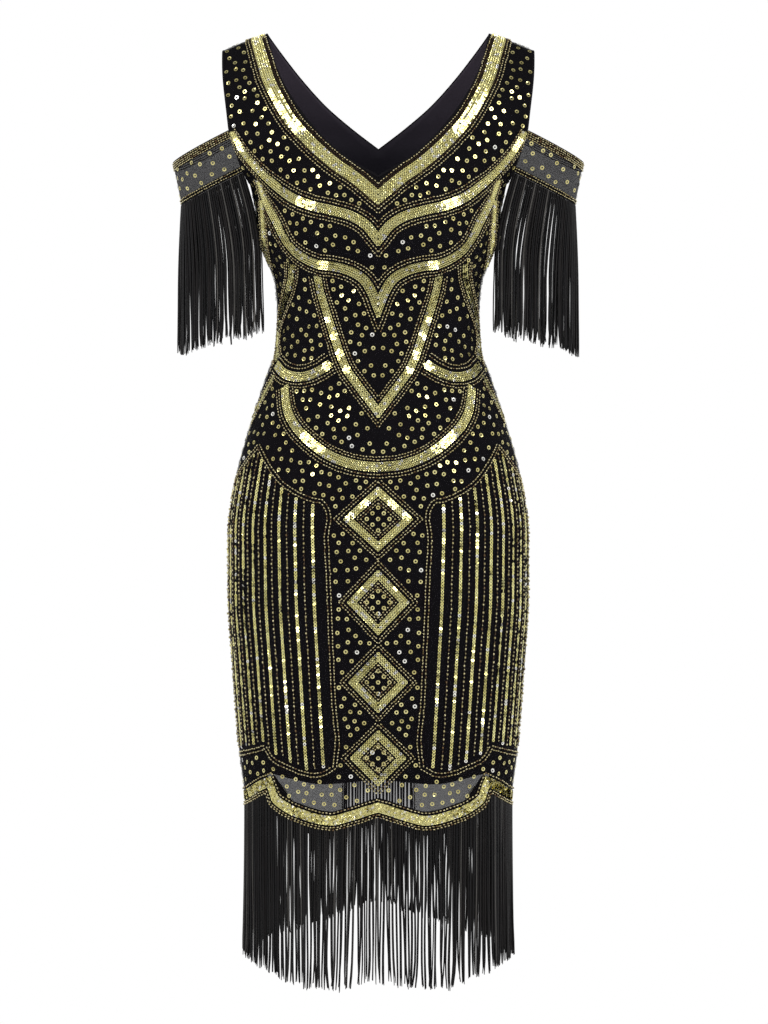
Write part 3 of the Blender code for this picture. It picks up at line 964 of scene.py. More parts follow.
# Cloth.
FOLD_DEPTH = 1.6
FOLD_LENGTH = 34
FOLD_BOW = 5  # the larger it is, the straighter the folds are
FOLD_TOP, FOLD_BOTTOM = -70, -230
STRIP_BEADS_TOP = (1.8, 4.0, 6.2, 8.4)  # millimetres from the strip's top edge
STRIP_BEADS_BOTTOM = (2.0, 4.8)
STRIP_HEIGHT = 46
STRIP_RINGS_FROM, STRIP_RINGS_TO = 0.2, 0.78
STRIP_RING_SPACE = 11
STRIP_RING_TRIES = 1500
STRIP_RINGS_Y = 8
BINDING_WIDTH = 1.5
BINDING_HEIGHT = 0.8
STRIP_BINDING = 0.55
STRIP_BINDING_LEVELS = (0.005, 0.995)
LEVEL_STEP = 0.01
BINDING_SIDES = 8
BACKING_ROWS = 4
STRIP_BACKING_TOP, STRIP_BACKING_BOTTOM = 9.4, 6.0
STRIP_BACKING_DEPTH = 0.7
HEM_BACKING = {"front": 22, "back": 17}
HEM_BACKING_DEPTH = 0.9
BACKING_STEEPEST = 1.5  # where the hem is steep, its tape is stretched by no more than this


def lining_grid(panel):
    """The lining's outer side, with soft folds across the back where it hangs free."""
    grid = panel.grid[HEM_ROWS:].copy()
    if panel.face == "front":
        z = grid[0, :, 2] + smooth(LINING_DIP, "z", "share", np.linspace(0, 1, HALF_COLUMNS + 1))
        grid[0] = ring_points("front", np.linspace(0, math.pi / 2, HALF_COLUMNS + 1), z)
    depth = np.full(grid.shape[:2], LINING_DEPTH)
    if panel.face == "back":
        z = grid[..., 2]
        height = np.clip((z - FOLD_BOTTOM) / (FOLD_TOP - FOLD_BOTTOM), 0, 1)
        wave = np.sin(math.tau * (z / FOLD_LENGTH + np.cos(grid[..., 0] / FOLD_LENGTH) / FOLD_BOW))
        depth += FOLD_DEPTH * (1 + wave) / 2 * np.sin(math.pi * height)
    return grid - panel.normals[HEM_ROWS:] * depth[..., None]


def hem_backing(panel, material):
    """A dark tape inside the hem, behind the band and its beads; at the back it leaves out the arch."""
    start = 0 if panel.face == "front" else ARCH_SHARE
    shares = np.linspace(start, 1, 2 * HEM_LINE_POINTS)
    angles = shares * math.pi / 2
    hem = hem_height(panel.face, shares)
    ways = distances(ring_points(panel.face, angles, hem) * [1, 1, 0])
    steepness = np.minimum(np.hypot(1, np.gradient(hem, ways)), BACKING_STEEPEST)
    insets = np.linspace(0, HEM_BACKING[panel.face], BACKING_ROWS + 1)
    grid = np.array([ring_points(panel.face, angles, hem + inset * steepness) for inset in insets])
    grid -= grid_normals(grid, np.array([0, 0, hem.mean()])) * HEM_BACKING_DEPTH
    shape = (grid.reshape(-1, 3), grid_quads(*grid.shape[:2], panel.face == "back"))
    return new_piece(panel.face + "_hem_backing", *joined([shape, mirrored_shape(shape)]), material, "lining")


def edge_line(front, back, name):
    """Points and normals of a neck or armhole edge, from the front over the shoulder to the back."""
    rows = slice(len(front.grid) - SHOULDER_ROWS - 1, None)
    column = 0 if name == "neck" else -1
    points = np.concatenate([front.grid[rows, column], back.grid[rows, column][-2::-1]])
    normals = np.concatenate([front.normals[rows, column], back.normals[rows, column][-2::-1]])
    return points, normals


def binding_shape(points, normals, width, height):
    """A rolled edge along a line of the cloth, as points and quads."""
    across = unit(np.cross(normals, np.gradient(points, axis=0)))
    rim = circle(BINDING_SIDES)[0]
    rounds = rim[:, :1] * height * normals[:, None] + rim[:, 1:] * width * across[:, None]
    quads = grid_quads(len(points), BINDING_SIDES + 1)
    quads = quads // (BINDING_SIDES + 1) * BINDING_SIDES + quads % (BINDING_SIDES + 1) % BINDING_SIDES
    return (points[:, None] + rounds).reshape(-1, 3), quads[:, ::-1]


def mirrored_shape(shape):
    points, faces = shape
    return points * np.array([-1, 1, 1]), faces[:, ::-1]


def shape_on_side(shape, side):
    return shape if side > 0 else mirrored_shape(shape)


def sewn_edges(front, back, material):
    """The rolled edges of the neck and the armholes."""
    shapes = []
    for name in ("neck", "armhole"):
        points, normals = edge_line(front, back, name)
        points = points - normals * BINDING_HEIGHT / 2
        shape = binding_shape(points, normals, BINDING_WIDTH, BINDING_HEIGHT)
        shapes += [shape, mirrored_shape(shape)]
    return new_piece("edge_bindings", *joined(shapes), material, "lining")


def arm_line(shares, level, front, back):
    """Points round the outside of the right arm, from the front armhole edge at -1 to the back's at 1.

    The level is a share of the strip's height, from 0 at its bottom edge to 1 at its top."""
    edge = StripEdge(*(blend(low, high, level) for low, high in zip(STRIP_BOTTOM, STRIP_TOP)))
    ends = []
    for panel, rise in ((front, 0), (back, STRIP_BACK_RISE * level)):
        armhole, end_z = panel.armhole_edge, edge.armhole_z + rise
        ends.append([np.interp(end_z, armhole[:, 2], armhole[:, k]) for k in (0, 1)] + [end_z])
    end_x, end_y, end_z = np.where(shares[:, None] < 0, ends[0], ends[1]).T
    end_x = end_x + STRIP_GAP
    reach = edge.outer_x - ARM_CENTRE_X
    end_angle = np.arccos((end_x - ARM_CENTRE_X) / reach)
    angle = np.abs(shares) * end_angle
    x = ARM_CENTRE_X + reach * np.cos(angle)
    y = end_y * np.sin(angle) / np.sin(end_angle)
    z = blend(edge.outer_z, end_z, (edge.outer_x - x) / (edge.outer_x - end_x))
    return np.column_stack([x, y, z])


def strip_row(level, pitch, front, back):
    shares = np.linspace(-1, 1, 4 * STRIP_COLUMNS + 1)
    points, above = (arm_line(shares, height, front, back) for height in (level, level + LEVEL_STEP))
    normals = unit(np.cross(above - points, np.gradient(points, axis=0)))
    normals *= np.sign(normals[len(normals) // 2, 0])
    table = resample(np.column_stack([points, normals]), pitch, pitch / 2)
    points, normals = table[:, :3], unit(table[:, 3:])
    return Row(points, normals, level_directions(points, normals), distances(points))


def strip_rings(front, back, random):
    """Ring sequins a fair distance apart on the front of the right strip."""
    taken = []
    for _ in range(STRIP_RING_TRIES):
        level = random.uniform(STRIP_RINGS_FROM, STRIP_RINGS_TO)
        row = strip_row(level, STRIP_RING_SPACE / 2, front, back)
        k = random.integers(1, len(row.along) - 1)
        place = row.points[k]
        clear = all(np.linalg.norm(place - other.points) > STRIP_RING_SPACE for other in taken)
        if clear and place[1] < STRIP_RINGS_Y:
            taken.append(keep(row, slice(k, k + 1)))
    return join_rows(taken)


def strip_backing(low, high, front, back):
    """A dark tape inside the front half of the right strip, between two heights from its bottom edge."""
    shares = np.linspace(-1, 0, STRIP_COLUMNS // 2 + 1)
    levels = np.linspace(low, high, BACKING_ROWS + 1) / STRIP_HEIGHT
    grid = np.array([arm_line(shares, level, front, back) for level in levels])
    grid[..., :2] -= unit(grid[..., :2] - [ARM_CENTRE_X, 0]) * STRIP_BACKING_DEPTH
    return grid.reshape(-1, 3), grid_quads(*grid.shape[:2])


def sleeve_strip(side, word, front, back, materials, random):
    """A sheer strip round the arm, with beads along its edges and ring sequins between them."""
    shares = np.linspace(-1, 1, STRIP_COLUMNS + 1)
    levels = np.linspace(0, 1, STRIP_ROWS + 1)
    grid = np.array([arm_line(shares, level, front, back) for level in levels])
    turned = grid * np.array([side, 1, 1])
    strip = cloth_piece("strip_" + word, turned, materials["strip_net"], "beaded_mesh", NET_WALL, side < 0)
    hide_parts("sleeve_band_" + word)
    heights = [STRIP_HEIGHT - inset for inset in STRIP_BEADS_TOP] + list(STRIP_BEADS_BOTTOM)
    rows = [strip_row(height / STRIP_HEIGHT, STRIP_BEADS.pitch, front, back) for height in heights]
    rings = on_side(strip_rings(front, back, random), side)
    edges = [strip_row(level, LINE_STEP, front, back) for level in STRIP_BINDING_LEVELS]
    bindings = [binding_shape(edge.points, edge.normals, STRIP_BINDING, STRIP_BINDING) for edge in edges]
    backings = [
        strip_backing(0, STRIP_BACKING_BOTTOM, front, back),
        strip_backing(STRIP_HEIGHT - STRIP_BACKING_TOP, STRIP_HEIGHT, front, back),
    ]
    tapes = []
    for name, shapes in (("strip_binding_", bindings), ("strip_backing_", backings)):
        turned = joined([shape_on_side(shape, side) for shape in shapes])
        tapes.append(new_piece(name + word, *turned, materials["tape"], "lining"))
    sewing = Sewing(STRIP_BEADS, [on_side(row, side) for row in rows])
    beads = bead_pieces("strip_beads_" + word, [sewing], [], materials, random)
    return strip, grid, beads + [ring_piece("strip_rings_" + word, rings, materials["rings"], random)] + tapes


# Fringe: strands in two layers on a header tape, hanging in small clumps.
TAPE_HEIGHT = 6
TAPE_DROP = 0.4
TAPE_DEPTH = 1.8
STRAND_PITCH = 2.3
STRAND_RADIUS = 0.86
STRAND_SIDES = 5
STRAND_STEPS = 14
LAYER_DEPTH = 0.9
CLUMP_SIZES = (2, 5)
CLUMP_START, CLUMP_PULL = 0.1, 0.33  # how far strands draw together, at their roots and below
CLUMP_SPEED = 3.3
SLEEVE_OPENING, ARMHOLE_OPENING = 0.75, 0.3  # how freely clumps part
OPENING_SPEED = 3
CLUMP_SWAY = 1.0
SWAY_POWER = 1.5
CLUMP_BULGE = 1.2
BUNDLE_CLUMPS = 5
BUNDLE_SWAY = 1.3
STRAND_SWAY = 0.5
PHASE_SCATTER = 0.2
WAVES = (0.2, 1.1)
CLUMP_CURL, STRAND_CURL = 1.5, 0.5
CURL_FROM = 0.8  # share of the way down a strand
LAYER_CLOSING = 0.3  # how much nearer the two layers are at the tips
TIP_SCATTER = 2.2
THICKNESSES = (0.9, 1.1)
TIP_THICKNESS = 0.55
FINE_STEPS = 400  # along an edge that strands hang from
NEARBY = 0.004  # share of the edge over which its direction is taken
FRINGE_SET_IN = 0.8

LEAN_DROP = 105
ARMHOLE_LEAN = 22.5
OUTER_LEAN = -4
ARMHOLE_TIP_Z = -352
OUTER_TIP_Z = -386
TIP_ROUNDING = 0.7
NEAR_LEAN = 0.9  # the share of a strand's lean that it has where it passes the body
Hangings = namedtuple("Hangings", "roots along out drops leans opening")


def tube_shape(paths, radii, sides):
    """Round strands along mostly upright paths: points, quads, and each quad's flat corners."""
    strands, steps = radii.shape
    rim = np.column_stack([circle(sides)[0], np.zeros(sides)])
    points = paths[:, :, None] + radii[:, :, None, None] * rim
    first = np.arange(strands * steps * sides).reshape(strands, steps, sides)[:, :-1]
    after = np.roll(first, -1, axis=2)
    quads = np.stack([first, first + sides, after + sides, after], -1).reshape(-1, 4)
    lengths = np.linalg.norm(np.diff(paths, axis=1), axis=2).cumsum(1)
    v = np.pad(lengths, ((0, 0), (1, 0)))
    u = np.arange(sides + 1) / sides * math.tau * STRAND_RADIUS
    uv = np.empty((strands, steps - 1, sides, 4, 2))
    uv[..., 0] = np.stack([u[:-1], u[:-1], u[1:], u[1:]], -1)
    for corner, upper in enumerate((True, False, False, True)):
        uv[..., corner, 1] = (v[:, :-1] if upper else v[:, 1:])[..., None]
    return points.reshape(-1, 3), quads, uv.reshape(-1, 4, 2)


def clumped(count, random):
    """For each strand, how far along the row it is from the middle of its clump, in strands."""
    away, clumps = [], []
    while len(away) < count:
        size = random.integers(*CLUMP_SIZES)
        clumps += [len(set(clumps))] * size
        away += list(centred(size, 1))
    return np.array(away[:count]), np.array(clumps[:count])


def strand_paths(hangings, random):
    """Paths of strands from their roots down. along and out are level directions at each root."""
    roots, along, out, drops, leans, opening = hangings
    count = len(roots)
    share = np.linspace(0, 1, STRAND_STEPS)
    away, clump = clumped(count, random)
    clumps = clump.max() + 1

    def scattered(amount):
        return random.normal(0, amount, clumps)[clump]

    bundle_sway = random.normal(0, BUNDLE_SWAY, clumps)[clump // BUNDLE_CLUMPS]
    sway = scattered(CLUMP_SWAY) + bundle_sway
    bulge = scattered(CLUMP_BULGE)
    phase = random.uniform(0, math.tau, clumps)[clump] + random.normal(0, PHASE_SCATTER, count)
    wave = random.uniform(*WAVES, clumps)[clump]
    curl = scattered(CLUMP_CURL) + random.normal(0, STRAND_CURL, count)
    drops = drops + scattered(TIP_SCATTER) + random.normal(0, TIP_SCATTER / 2, count)
    pull = blend(CLUMP_START, CLUMP_PULL, np.minimum(share * CLUMP_SPEED, 1))
    aside = -(opening * away)[:, None] * STRAND_PITCH * pull
    aside += (opening * sway)[:, None] * share**SWAY_POWER
    aside += wave[:, None] * np.sin(math.tau * share + phase[:, None]) * share
    aside += curl[:, None] * (np.maximum(share - CURL_FROM, 0) / (1 - CURL_FROM)) ** 2
    layer = LAYER_DEPTH * (np.arange(count) % 2 * 2 - 1)
    outward = layer[:, None] * (1 - LAYER_CLOSING * share) + bulge[:, None] * share**2
    outward += random.normal(0, STRAND_SWAY, count)[:, None] * share
    paths = roots[:, None] + along[:, None] * aside[..., None] + out[:, None] * outward[..., None]
    paths[..., 2] -= drops[:, None] * share
    paths[..., 0] -= leans(drops[:, None] * share)
    return paths


def strand_radii(count, random):
    """A strand's thickness: rooted in the tape, even below, and cut at its tip."""
    radii = np.full((count, STRAND_STEPS), STRAND_RADIUS) * random.uniform(*THICKNESSES, (count, 1))
    radii[:, -1] *= TIP_THICKNESS
    return radii


def spaced(points, pitch):
    """Shares of the way along a fine line of points where things stand a pitch apart."""
    lengths = distances(points)
    count = int(lengths[-1] / pitch)
    where = (np.arange(count) + 0.5) * lengths[-1] / count
    return np.interp(where, lengths, np.linspace(-1, 1, len(points)))


def interpolated(where, places, values):
    return np.column_stack([np.interp(where, places, column) for column in values.T])


def fringe_piece(name, fine, edge, shares, hangings, material, random):
    """Strands and the tape that they are sewn to, along an edge given at fine shares of its length."""
    inner = edge - interpolated(fine, shares, hangings.out) * TAPE_DEPTH
    tape = np.array([inner - [0, 0, TAPE_HEIGHT], inner])
    hangings = hangings._replace(roots=hangings.roots - hangings.out * FRINGE_SET_IN)
    paths = strand_paths(hangings, random)
    points, quads, uv = tube_shape(paths, strand_radii(len(paths), random), STRAND_SIDES)
    tape_quads = grid_quads(*tape.shape[:2])
    flat = tape.reshape(-1, 3)
    tape_uv = np.column_stack([flat[:, 0] + flat[:, 1], flat[:, 2]])[tape_quads]
    points, quads = joined([(points, quads), (flat, tape_quads)])
    return new_piece(name, points, quads, material, "fringe", np.concatenate([uv, tape_uv]))


def hem_points(face, shares, heights):
    points = ring_points(face, np.abs(shares) * math.pi / 2, heights)
    points[:, 0] *= np.where(shares < 0, -1, 1)
    return points


def hem_fringe(face, material, random):
    fine = np.linspace(-1, 1, 2 * FINE_STEPS + 1)
    edge = hem_points(face, fine, hem_height(face, np.abs(fine)) - TAPE_DROP)
    shares = spaced(edge * [1, 1, 0], STRAND_PITCH / 2)
    root_z = hem_height(face, np.abs(shares)) - TAPE_DROP
    before, after = (hem_points(face, np.clip(shares + step, -1, 1), root_z) for step in (-NEARBY, NEARBY))
    along = unit((after - before) * [1, 1, 0])
    out = (1 if face == "front" else -1) * np.cross(along, [0, 0, 1.0])
    drops = root_z - tip_height(face, np.abs(shares))
    hangings = Hangings(hem_points(face, shares, root_z), along, out, drops, lambda drop: 0, 1)
    piece = fringe_piece(face + "_hem_fringe", fine, edge, shares, hangings, material, random)
    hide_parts("hem_fringe_" + face)
    return piece


def sleeve_fringe(side, word, front, back, material, random):
    """The fringe under a strip. It leans in towards the waist where it hangs beside the body."""
    fine = np.linspace(-1, 1, FINE_STEPS + 1)
    edge = arm_line(fine, 0, front, back) - [0, 0, TAPE_DROP]
    shares = spaced(edge * [1, 1, 0], STRAND_PITCH / 2)
    roots = interpolated(shares, fine, edge)
    along = unit(interpolated(shares, fine, np.gradient(edge, axis=0) * [1, 1, 0]))
    outside = 1 - np.abs(shares)
    drops = roots[:, 2] - blend(ARMHOLE_TIP_Z, OUTER_TIP_Z, outside**TIP_ROUNDING)
    lean = blend(ARMHOLE_LEAN, OUTER_LEAN, outside)[:, None]

    def leans(drop):
        near = np.sin(math.pi / 2 * np.minimum(drop / LEAN_DROP, 1))
        return lean * blend(np.clip(drop / LEAN_DROP - 1, 0, 1), near, NEAR_LEAN)

    opening = blend(ARMHOLE_OPENING, SLEEVE_OPENING, np.minimum(outside * OPENING_SPEED, 1))
    hangings = Hangings(roots, along, np.cross(along, [0, 0, 1.0]), drops, leans, opening)
    piece = fringe_piece(word + "_sleeve_fringe", fine, edge, shares, hangings, material, random)
    if side < 0:
        for vertex in piece.data.vertices:
            vertex.co.x *= -1
        piece.data.flip_normals()
    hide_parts("sleeve_fringe_" + word)
    return piece


# Finishes.
NET_BLACK = (0.0095, 0.0085, 0.0105, 1)
LINING_BLACK = (0.009, 0.008, 0.011, 1)
# The back's lining is the front's black lining painted lighter, and paler again towards the shoulders:
# painted light where light reaches its inside.
BACK_PAINTED_LIGHT_BLACK = (0.019, 0.0178, 0.025, 1)
BACK_PAINTED_LIGHT = (0.064, 0.053, 0.07, 1)
LINING_PAINTED_LIGHT_HEIGHTS = (-0.17, -0.03)  # heights in metres between which painted light makes the back's lining paler upwards
NET_COVER = (0.26, 0.49)
STRIP_COVER = (0.31, 0.56)
THREAD_SOFTNESS = 0.2
TWIST_LENGTH = 3.2
SHUFFLE = 37  # makes a second random number from a thing's first one
Looks = namedtuple("Looks", "Colour_One Colour_Two Rare_Colour Rarity Roughness_One Roughness_Two")
# The yarn's rare grey colour is a painted highlight: strands coloured as if they caught the light.
YARN = Looks((0.004, 0.004, 0.005, 1), (0.0125, 0.0105, 0.0105, 1), (0.085, 0.08, 0.075, 1), 0.1, 0.38, 0.6)
# The near-white rare colours of the sequin and ring films are painted highlights: pieces coloured as if they
# caught the light.
SEQUIN_FILM = Looks((0.99, 0.935, 0.43, 1), (0.77, 0.685, 0.23, 1), (0.97, 0.95, 0.86, 1), 0.08, 0.1, 0.3)
RING_FILM = Looks((0.78, 0.71, 0.33, 1), (0.54, 0.47, 0.18, 1), (0.92, 0.91, 0.84, 1), 0.05, 0.15, 0.3)
GOLD_GLASS = Looks((0.80, 0.72, 0.42, 1), (0.52, 0.43, 0.19, 1), (0.20, 0.12, 0.05, 1), 0.1, 0.18, 0.35)
# Real thread, darkened further as painted shade in the gaps between beads, and the brown beads, which are
# painted shade beside the sequins.
BROWN_GLASS_AND_PAINTED_SHADE = Looks((0.055, 0.03, 0.014, 1), (0.02, 0.011, 0.006, 1), (0.3, 0.24, 0.09, 1), 0.06, 0.35, 0.55)


def feed(tree, socket, value):
    """Gives an input its value, which is plain or another node's output."""
    if isinstance(value, bpy.types.NodeSocket):
        tree.links.new(value, socket)
    else:
        socket.default_value = value


def plug(tree, node, **values):
    """Feeds a node's inputs by their names, with _ for a space."""
    for key, value in values.items():
        feed(tree, node.inputs[key.replace("_", " ")], value)
    return node


def add_node(tree, kind, **values):
    return plug(tree, tree.nodes.new("ShaderNode" + kind), **values)


def maths(tree, operation, *values):
    node = add_node(tree, "Math")
    node.operation = operation
    for socket, value in zip(node.inputs, values):
        feed(tree, socket, value)
    return node.outputs["Value"]


def between(tree, value, low, high, smooth_step=False):
    """A 0 to 1 value mapped to a range, or a smooth step up from 0 to 1 between two values."""
    node = add_node(tree, "MapRange", Value=value)
    names = ("To Min", "To Max")
    if smooth_step:
        node.interpolation_type = "SMOOTHSTEP"
        names = ("From Min", "From Max")
    for name, bound in zip(names, (low, high)):
        feed(tree, node.inputs[name], bound)
    return node.outputs["Result"]


def new_group(name, inputs, outputs):
    """A node group with sockets of these names: the group, its inputs inside, and its output node."""
    group = bpy.data.node_groups.new(name, "ShaderNodeTree")
    for way, names in (("INPUT", inputs), ("OUTPUT", outputs)):
        for key in names:
            kind = "Color" if "Colour" in key else "Vector" if "Place" in key else "Float"
            group.interface.new_socket(name=key, in_out=way, socket_type="NodeSocket" + kind)
    given, result = (group.nodes.new("NodeGroup" + end) for end in ("Input", "Output"))
    return group, given.outputs, result


def weave_group():
    """Threads across and along flat cloth: how much of a thread is at a place, and how high it stands."""
    names = ("Flat Place", "Threads Across", "Threads Along", "Opening")
    group, given, result = new_group("weave", names, ("Thread", "Height"))
    split = add_node(group, "SeparateXYZ", Vector=given["Flat Place"])
    waves = []
    for axis, count in (("X", "Threads Across"), ("Y", "Threads Along")):
        turns = maths(group, "MULTIPLY", split.outputs[axis], given[count])
        waves.append(maths(group, "ABSOLUTE", maths(group, "SINE", maths(group, "MULTIPLY", turns, math.pi))))
    height = maths(group, "MAXIMUM", *waves)
    soft = maths(group, "ADD", given["Opening"], THREAD_SOFTNESS)
    plug(group, result, Thread=between(group, height, given["Opening"], soft, True), Height=height)
    return group


def mottle_group():
    """Slow change over cloth, as a value round 1 that brightens or darkens a colour."""
    group, given, result = new_group("mottle", ("Scale", "Strength", "Colour"), ("Colour", "Change"))
    place = add_node(group, "TexCoord").outputs["Object"]
    noise = add_node(group, "TexNoise", Vector=place, Scale=given["Scale"]).outputs["Fac"]
    change = maths(group, "MULTIPLY", maths(group, "SUBTRACT", noise, 0.5), given["Strength"])
    scaled = add_node(group, "VectorMath")
    scaled.operation = "SCALE"
    feed(group, scaled.inputs[0], given["Colour"])
    plug(group, scaled, Scale=maths(group, "MULTIPLY_ADD", change, 2, 1))
    plug(group, result, Colour=scaled.outputs["Vector"], Change=change)
    return group


def each_group():
    """Small things that differ one by one. Each has its gloss, and a colour between two or rarely a third."""
    names = [field.replace("_", " ") for field in Looks._fields]
    group, given, result = new_group("one by one", names, ("Colour", "Roughness"))
    own = add_node(group, "NewGeometry").outputs["Random Per Island"]
    common = blended(group, own, given["Colour One"], given["Colour Two"])
    shuffled = maths(group, "FRACT", maths(group, "MULTIPLY", own, SHUFFLE))
    # For sequins, rings and yarn the rare third colour is a painted highlight; for beads it is their own odd
    # colour.
    rare = maths(group, "LESS_THAN", shuffled, given["Rarity"])
    rough = between(group, own, given["Roughness One"], given["Roughness Two"])
    plug(group, result, Colour=blended(group, rare, common, given["Rare Colour"]), Roughness=rough)
    return group


def blended(tree, factor, one, two):
    mix = add_node(tree, "Mix")
    mix.data_type = "RGBA"
    for name, value in (("Factor", factor), ("A", one), ("B", two)):
        socket = [socket for socket in mix.inputs if socket.name == name and socket.enabled][0]
        feed(tree, socket, value)
    return [socket for socket in mix.outputs if socket.enabled][0]


def new_finish(name, **values):
    """A material whose shader has these values, with its node tree and its shader."""
    material = bpy.data.materials.new(name)
    material.use_nodes = True
    tree = material.node_tree
    return material, tree, plug(tree, tree.nodes["Principled BSDF"], **values)


def use_group(tree, group, **values):
    node = add_node(tree, "Group")
    node.node_tree = group
    return plug(tree, node, **values).outputs


def raised(tree, shader, height, distance):
    """Lets a shader's surface stand up by a height's share of a distance in millimetres."""
    bump = add_node(tree, "Bump", Strength=1, Distance=distance * MM, Height=height)
    plug(tree, shader, Normal=bump.outputs["Normal"])


def flat_place(tree, turn=0.0):
    """The flat place of cloth in metres, turned by some degrees."""
    mapping = add_node(tree, "Mapping", Vector=add_node(tree, "TexCoord").outputs["UV"])
    mapping.inputs["Rotation"].default_value[2] = math.radians(turn)
    return mapping.outputs["Vector"]


def net_finish(name, groups, cover):
    """Fine black net: diamond holes that let the light through. cover is what a hole and a thread hide."""
    material, tree, shader = new_finish(name, Roughness=0.75, Specular_IOR_Level=0.05)
    place = flat_place(tree, 45)
    weave = use_group(
        tree, groups["weave"], Flat_Place=place, Threads_Across=1500, Threads_Along=1500, Opening=0.62
    )
    mottle = use_group(tree, groups["mottle"], Scale=22, Strength=0.25, Colour=NET_BLACK)
    plug(tree, shader, Base_Color=mottle["Colour"], Alpha=between(tree, weave["Thread"], *cover))
    raised(tree, shader, weave["Height"], 0.12)
    return material


def lining_finish(name, groups, black, top):
    """Smooth black stretch lining with a faint rib. Its colour rises from black to top: painted light, paler
    towards the shoulders, where light reaches it.
    """
    material, tree, shader = new_finish(name, Specular_IOR_Level=0.05)
    place = flat_place(tree)
    weave = use_group(
        tree, groups["weave"], Flat_Place=place, Threads_Across=1400, Threads_Along=300, Opening=0.1
    )
    low, high = (
        use_group(tree, groups["mottle"], Scale=9, Strength=0.3, Colour=colour)["Colour"]
        for colour in (black, top)
    )
    split = add_node(tree, "SeparateXYZ", Vector=add_node(tree, "TexCoord").outputs["Object"])
    # Painted light: the colour grows from black to top upwards, where light reaches the lining.
    colour = blended(tree, between(tree, split.outputs["Z"], *LINING_PAINTED_LIGHT_HEIGHTS, True), low, high)
    plug(tree, shader, Base_Color=colour, Roughness=between(tree, weave["Height"], 0.62, 0.5))
    raised(tree, shader, weave["Height"], 0.05)
    return material


def tape_finish(groups):
    """Matte black tape and rolled edges."""
    material, tree, shader = new_finish("black edging", Roughness=0.8, Specular_IOR_Level=0.05)
    mottle = use_group(tree, groups["mottle"], Scale=300, Strength=0.5, Colour=NET_BLACK)
    plug(tree, shader, Base_Color=mottle["Colour"])
    raised(tree, shader, mottle["Change"], 0.4)
    return material


def yarn_finish(groups):
    """Twisted black yarn with a slight sheen, which shows as broken light lines down a strand."""
    material, tree, shader = new_finish("black yarn", Specular_IOR_Level=0.25)
    split = add_node(tree, "SeparateXYZ", Vector=flat_place(tree)).outputs
    round_strand = maths(tree, "MULTIPLY", split["X"], 1 / (STRAND_RADIUS * MM))
    down_strand = maths(tree, "MULTIPLY", split["Y"], math.tau / TWIST_LENGTH / MM)
    twist = maths(tree, "SINE", maths(tree, "ADD", round_strand, down_strand))
    own = use_group(tree, groups["each"], **YARN._asdict())
    mottle = use_group(tree, groups["mottle"], Scale=30, Strength=0.6, Colour=own["Colour"])
    plug(tree, shader, Base_Color=mottle["Colour"], Roughness=own["Roughness"])
    raised(tree, shader, twist, 0.12)
    return material


def film_finish(name, groups, looks, **values):
    """Bright metal film or foil-lined glass, a little different from piece to piece."""
    material, tree, shader = new_finish(name, **values)
    own = use_group(tree, groups["each"], **looks._asdict())
    plug(tree, shader, Base_Color=own["Colour"], Roughness=own["Roughness"])
    return material


def make_finishes():
    groups = {"weave": weave_group(), "mottle": mottle_group(), "each": each_group()}
    return {
        "net": net_finish("black net", groups, NET_COVER),
        "strip_net": net_finish("black strip net", groups, STRIP_COVER),
        "front_lining": lining_finish("black lining", groups, LINING_BLACK, LINING_BLACK),
        "back_lining": lining_finish("black back lining with painted light", groups, BACK_PAINTED_LIGHT_BLACK, BACK_PAINTED_LIGHT),
        "tape": tape_finish(groups),
        "yarn": yarn_finish(groups),
        "sequins": film_finish("sequin film", groups, SEQUIN_FILM, Metallic=1.0, Coat_Weight=0.4),
        "rings": film_finish("ring film", groups, RING_FILM, Metallic=0.8),
        "beads": film_finish("gold beads", groups, GOLD_GLASS, Metallic=0.8, Coat_Weight=0.5),
        "brown": film_finish("brown beads and thread", groups, BROWN_GLASS_AND_PAINTED_SHADE, Specular_IOR_Level=0.3),
    }


# The room, in metres.
FLOOR_Z = -1.45
FLOOR_RADIUS = 1.4
FLOOR_GREYS = ((0.8, 0.8, 0.79, 1), (0.86, 0.86, 0.85, 1))
SOFTBOX = (2.4, -2.0, 1.5)
LIGHTS = (
    ("left softbox", (-SOFTBOX[0], *SOFTBOX[1:]), (0.9, 0.9), 20),
    ("right softbox", SOFTBOX, (0.9, 0.9), 20),
    ("high softbox", (0, -2.2, 2.8), (2.0, 1.4), 2),
)
LIT_PLACE = (0, 0, -0.45)
ROOM_MIDDLE, ROOM_HIGH = 1.22, 0.25  # how bright the room is level with the dress and straight above it
ROOM_PATCHES = 4.3
ROOM_CHANGE = 0.42
CAMERA_PLACE = (0.00684, -4, -0.5736)
CAMERA_LENS = 117.19


def add_floor():
    place = (0, 0, FLOOR_Z)
    bpy.ops.mesh.primitive_circle_add(vertices=96, radius=FLOOR_RADIUS, fill_type="NGON", location=place)
    floor = bpy.context.object
    floor.name = "floor"
    material, tree, shader = new_finish("pale floor", Roughness=0.8)
    ramp = add_node(tree, "ValToRGB", Fac=add_node(tree, "TexNoise", Scale=3).outputs["Fac"])
    for element, grey in zip(ramp.color_ramp.elements, FLOOR_GREYS):
        element.color = grey
    plug(tree, shader, Base_Color=ramp.outputs["Color"])
    floor.data.materials.append(material)


def add_light(name, place, size, power):
    data = bpy.data.lights.new(name, "AREA")
    data.shape = "RECTANGLE"
    data.size, data.size_y = size
    data.energy = power
    light = bpy.data.objects.new(name, data)
    light.location = place
    light.rotation_euler = (Vector(LIT_PLACE) - light.location).to_track_quat("-Z", "Y").to_euler()
    bpy.context.scene.collection.objects.link(light)


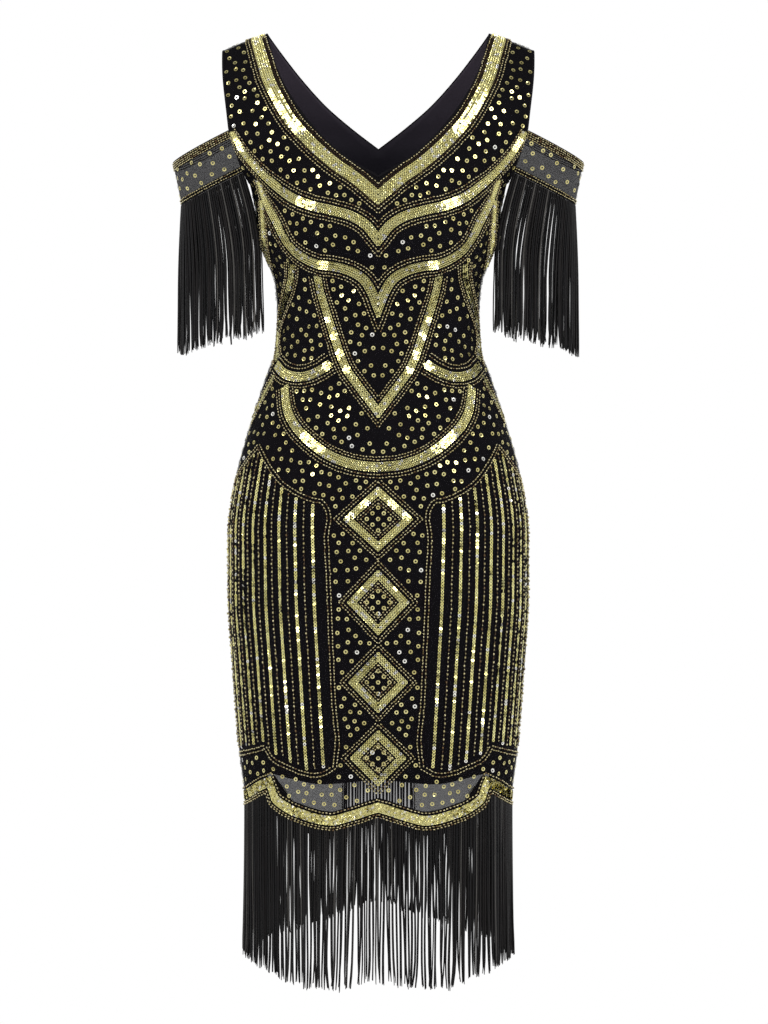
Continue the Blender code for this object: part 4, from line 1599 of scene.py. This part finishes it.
def add_world():
    """A white room to the eye, and a softer, darker one in reflections so that bright film shows its form."""
    world = bpy.data.worlds.new("studio")
    bpy.context.scene.world = world
    world.use_nodes = True
    tree = world.node_tree
    direction = add_node(tree, "TexCoord").outputs["Generated"]
    up = add_node(tree, "SeparateXYZ", Vector=direction).outputs["Z"]
    corners = add_node(tree, "TexNoise", Vector=direction, Scale=ROOM_PATCHES).outputs["Fac"]
    patches = between(tree, corners, 1 - 2 * ROOM_CHANGE, 1 + 2 * ROOM_CHANGE)
    strength = maths(tree, "MULTIPLY", between(tree, up, ROOM_MIDDLE, ROOM_HIGH), patches)
    lighting = add_node(tree, "Background", Strength=strength)
    seen = plug(tree, tree.nodes["Background"], Color=(1, 1, 1, 1))
    mix = add_node(tree, "MixShader", Fac=add_node(tree, "LightPath").outputs["Is Camera Ray"])
    for socket, background in zip(mix.inputs[1:], (lighting, seen)):
        feed(tree, socket, background.outputs["Background"])
    plug(tree, tree.nodes["World Output"], Surface=mix.outputs["Shader"])


def add_camera():
    """From 4 m in front, level, at the middle of the dress's height. One pixel there is 1.2 mm."""
    data = bpy.data.cameras.new("camera")
    data.lens = CAMERA_LENS
    camera = bpy.data.objects.new("camera", data)
    camera.location = CAMERA_PLACE
    camera.rotation_euler = (math.pi / 2, 0, 0)
    bpy.context.scene.collection.objects.link(camera)
    bpy.context.scene.camera = camera


def main():
    random = np.random.default_rng(7)
    finishes = make_finishes()
    front, back = panels = [HalfPanel(face) for face in FACES]
    for panel in panels:
        face = panel.face
        flip = face == "back"
        net = cloth_piece(face + "_net", panel.grid, finishes["net"], "beaded_mesh", NET_WALL, flip, True)
        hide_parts(face + "_panel")
        inner = lining_grid(panel)
        black = finishes[face + "_lining"]
        lining = cloth_piece(face + "_lining_cloth", inner, black, "lining", LINING_WALL, flip, True)
        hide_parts(face + "_lining")
        beading = lay_out_beading(front, panel, random)
        beads = sewings_on_both_sides(beading.beads)
        trims = bead_pieces(face + "_beads", beads, beading.brown, finishes, random)
        trims += [
            sequin_piece(face, beading, finishes["sequins"], random),
            ring_piece(face + "_rings", both_sides(beading.rings), finishes["rings"], random),
            hem_fringe(face, finishes["yarn"], random),
            hem_backing(panel, finishes["tape"]),
        ]
    sewn_edges(front, back, finishes["tape"])
    for side, word in SIDES:
        strip, grid, trims = sleeve_strip(side, word, front, back, finishes, random)
        trims.append(sleeve_fringe(side, word, front, back, finishes["yarn"], random))
    add_floor()
    for light in LIGHTS:
        add_light(*light)
    add_world()
    add_camera()
    bpy.context.scene.view_settings.view_transform = "Standard"


main()
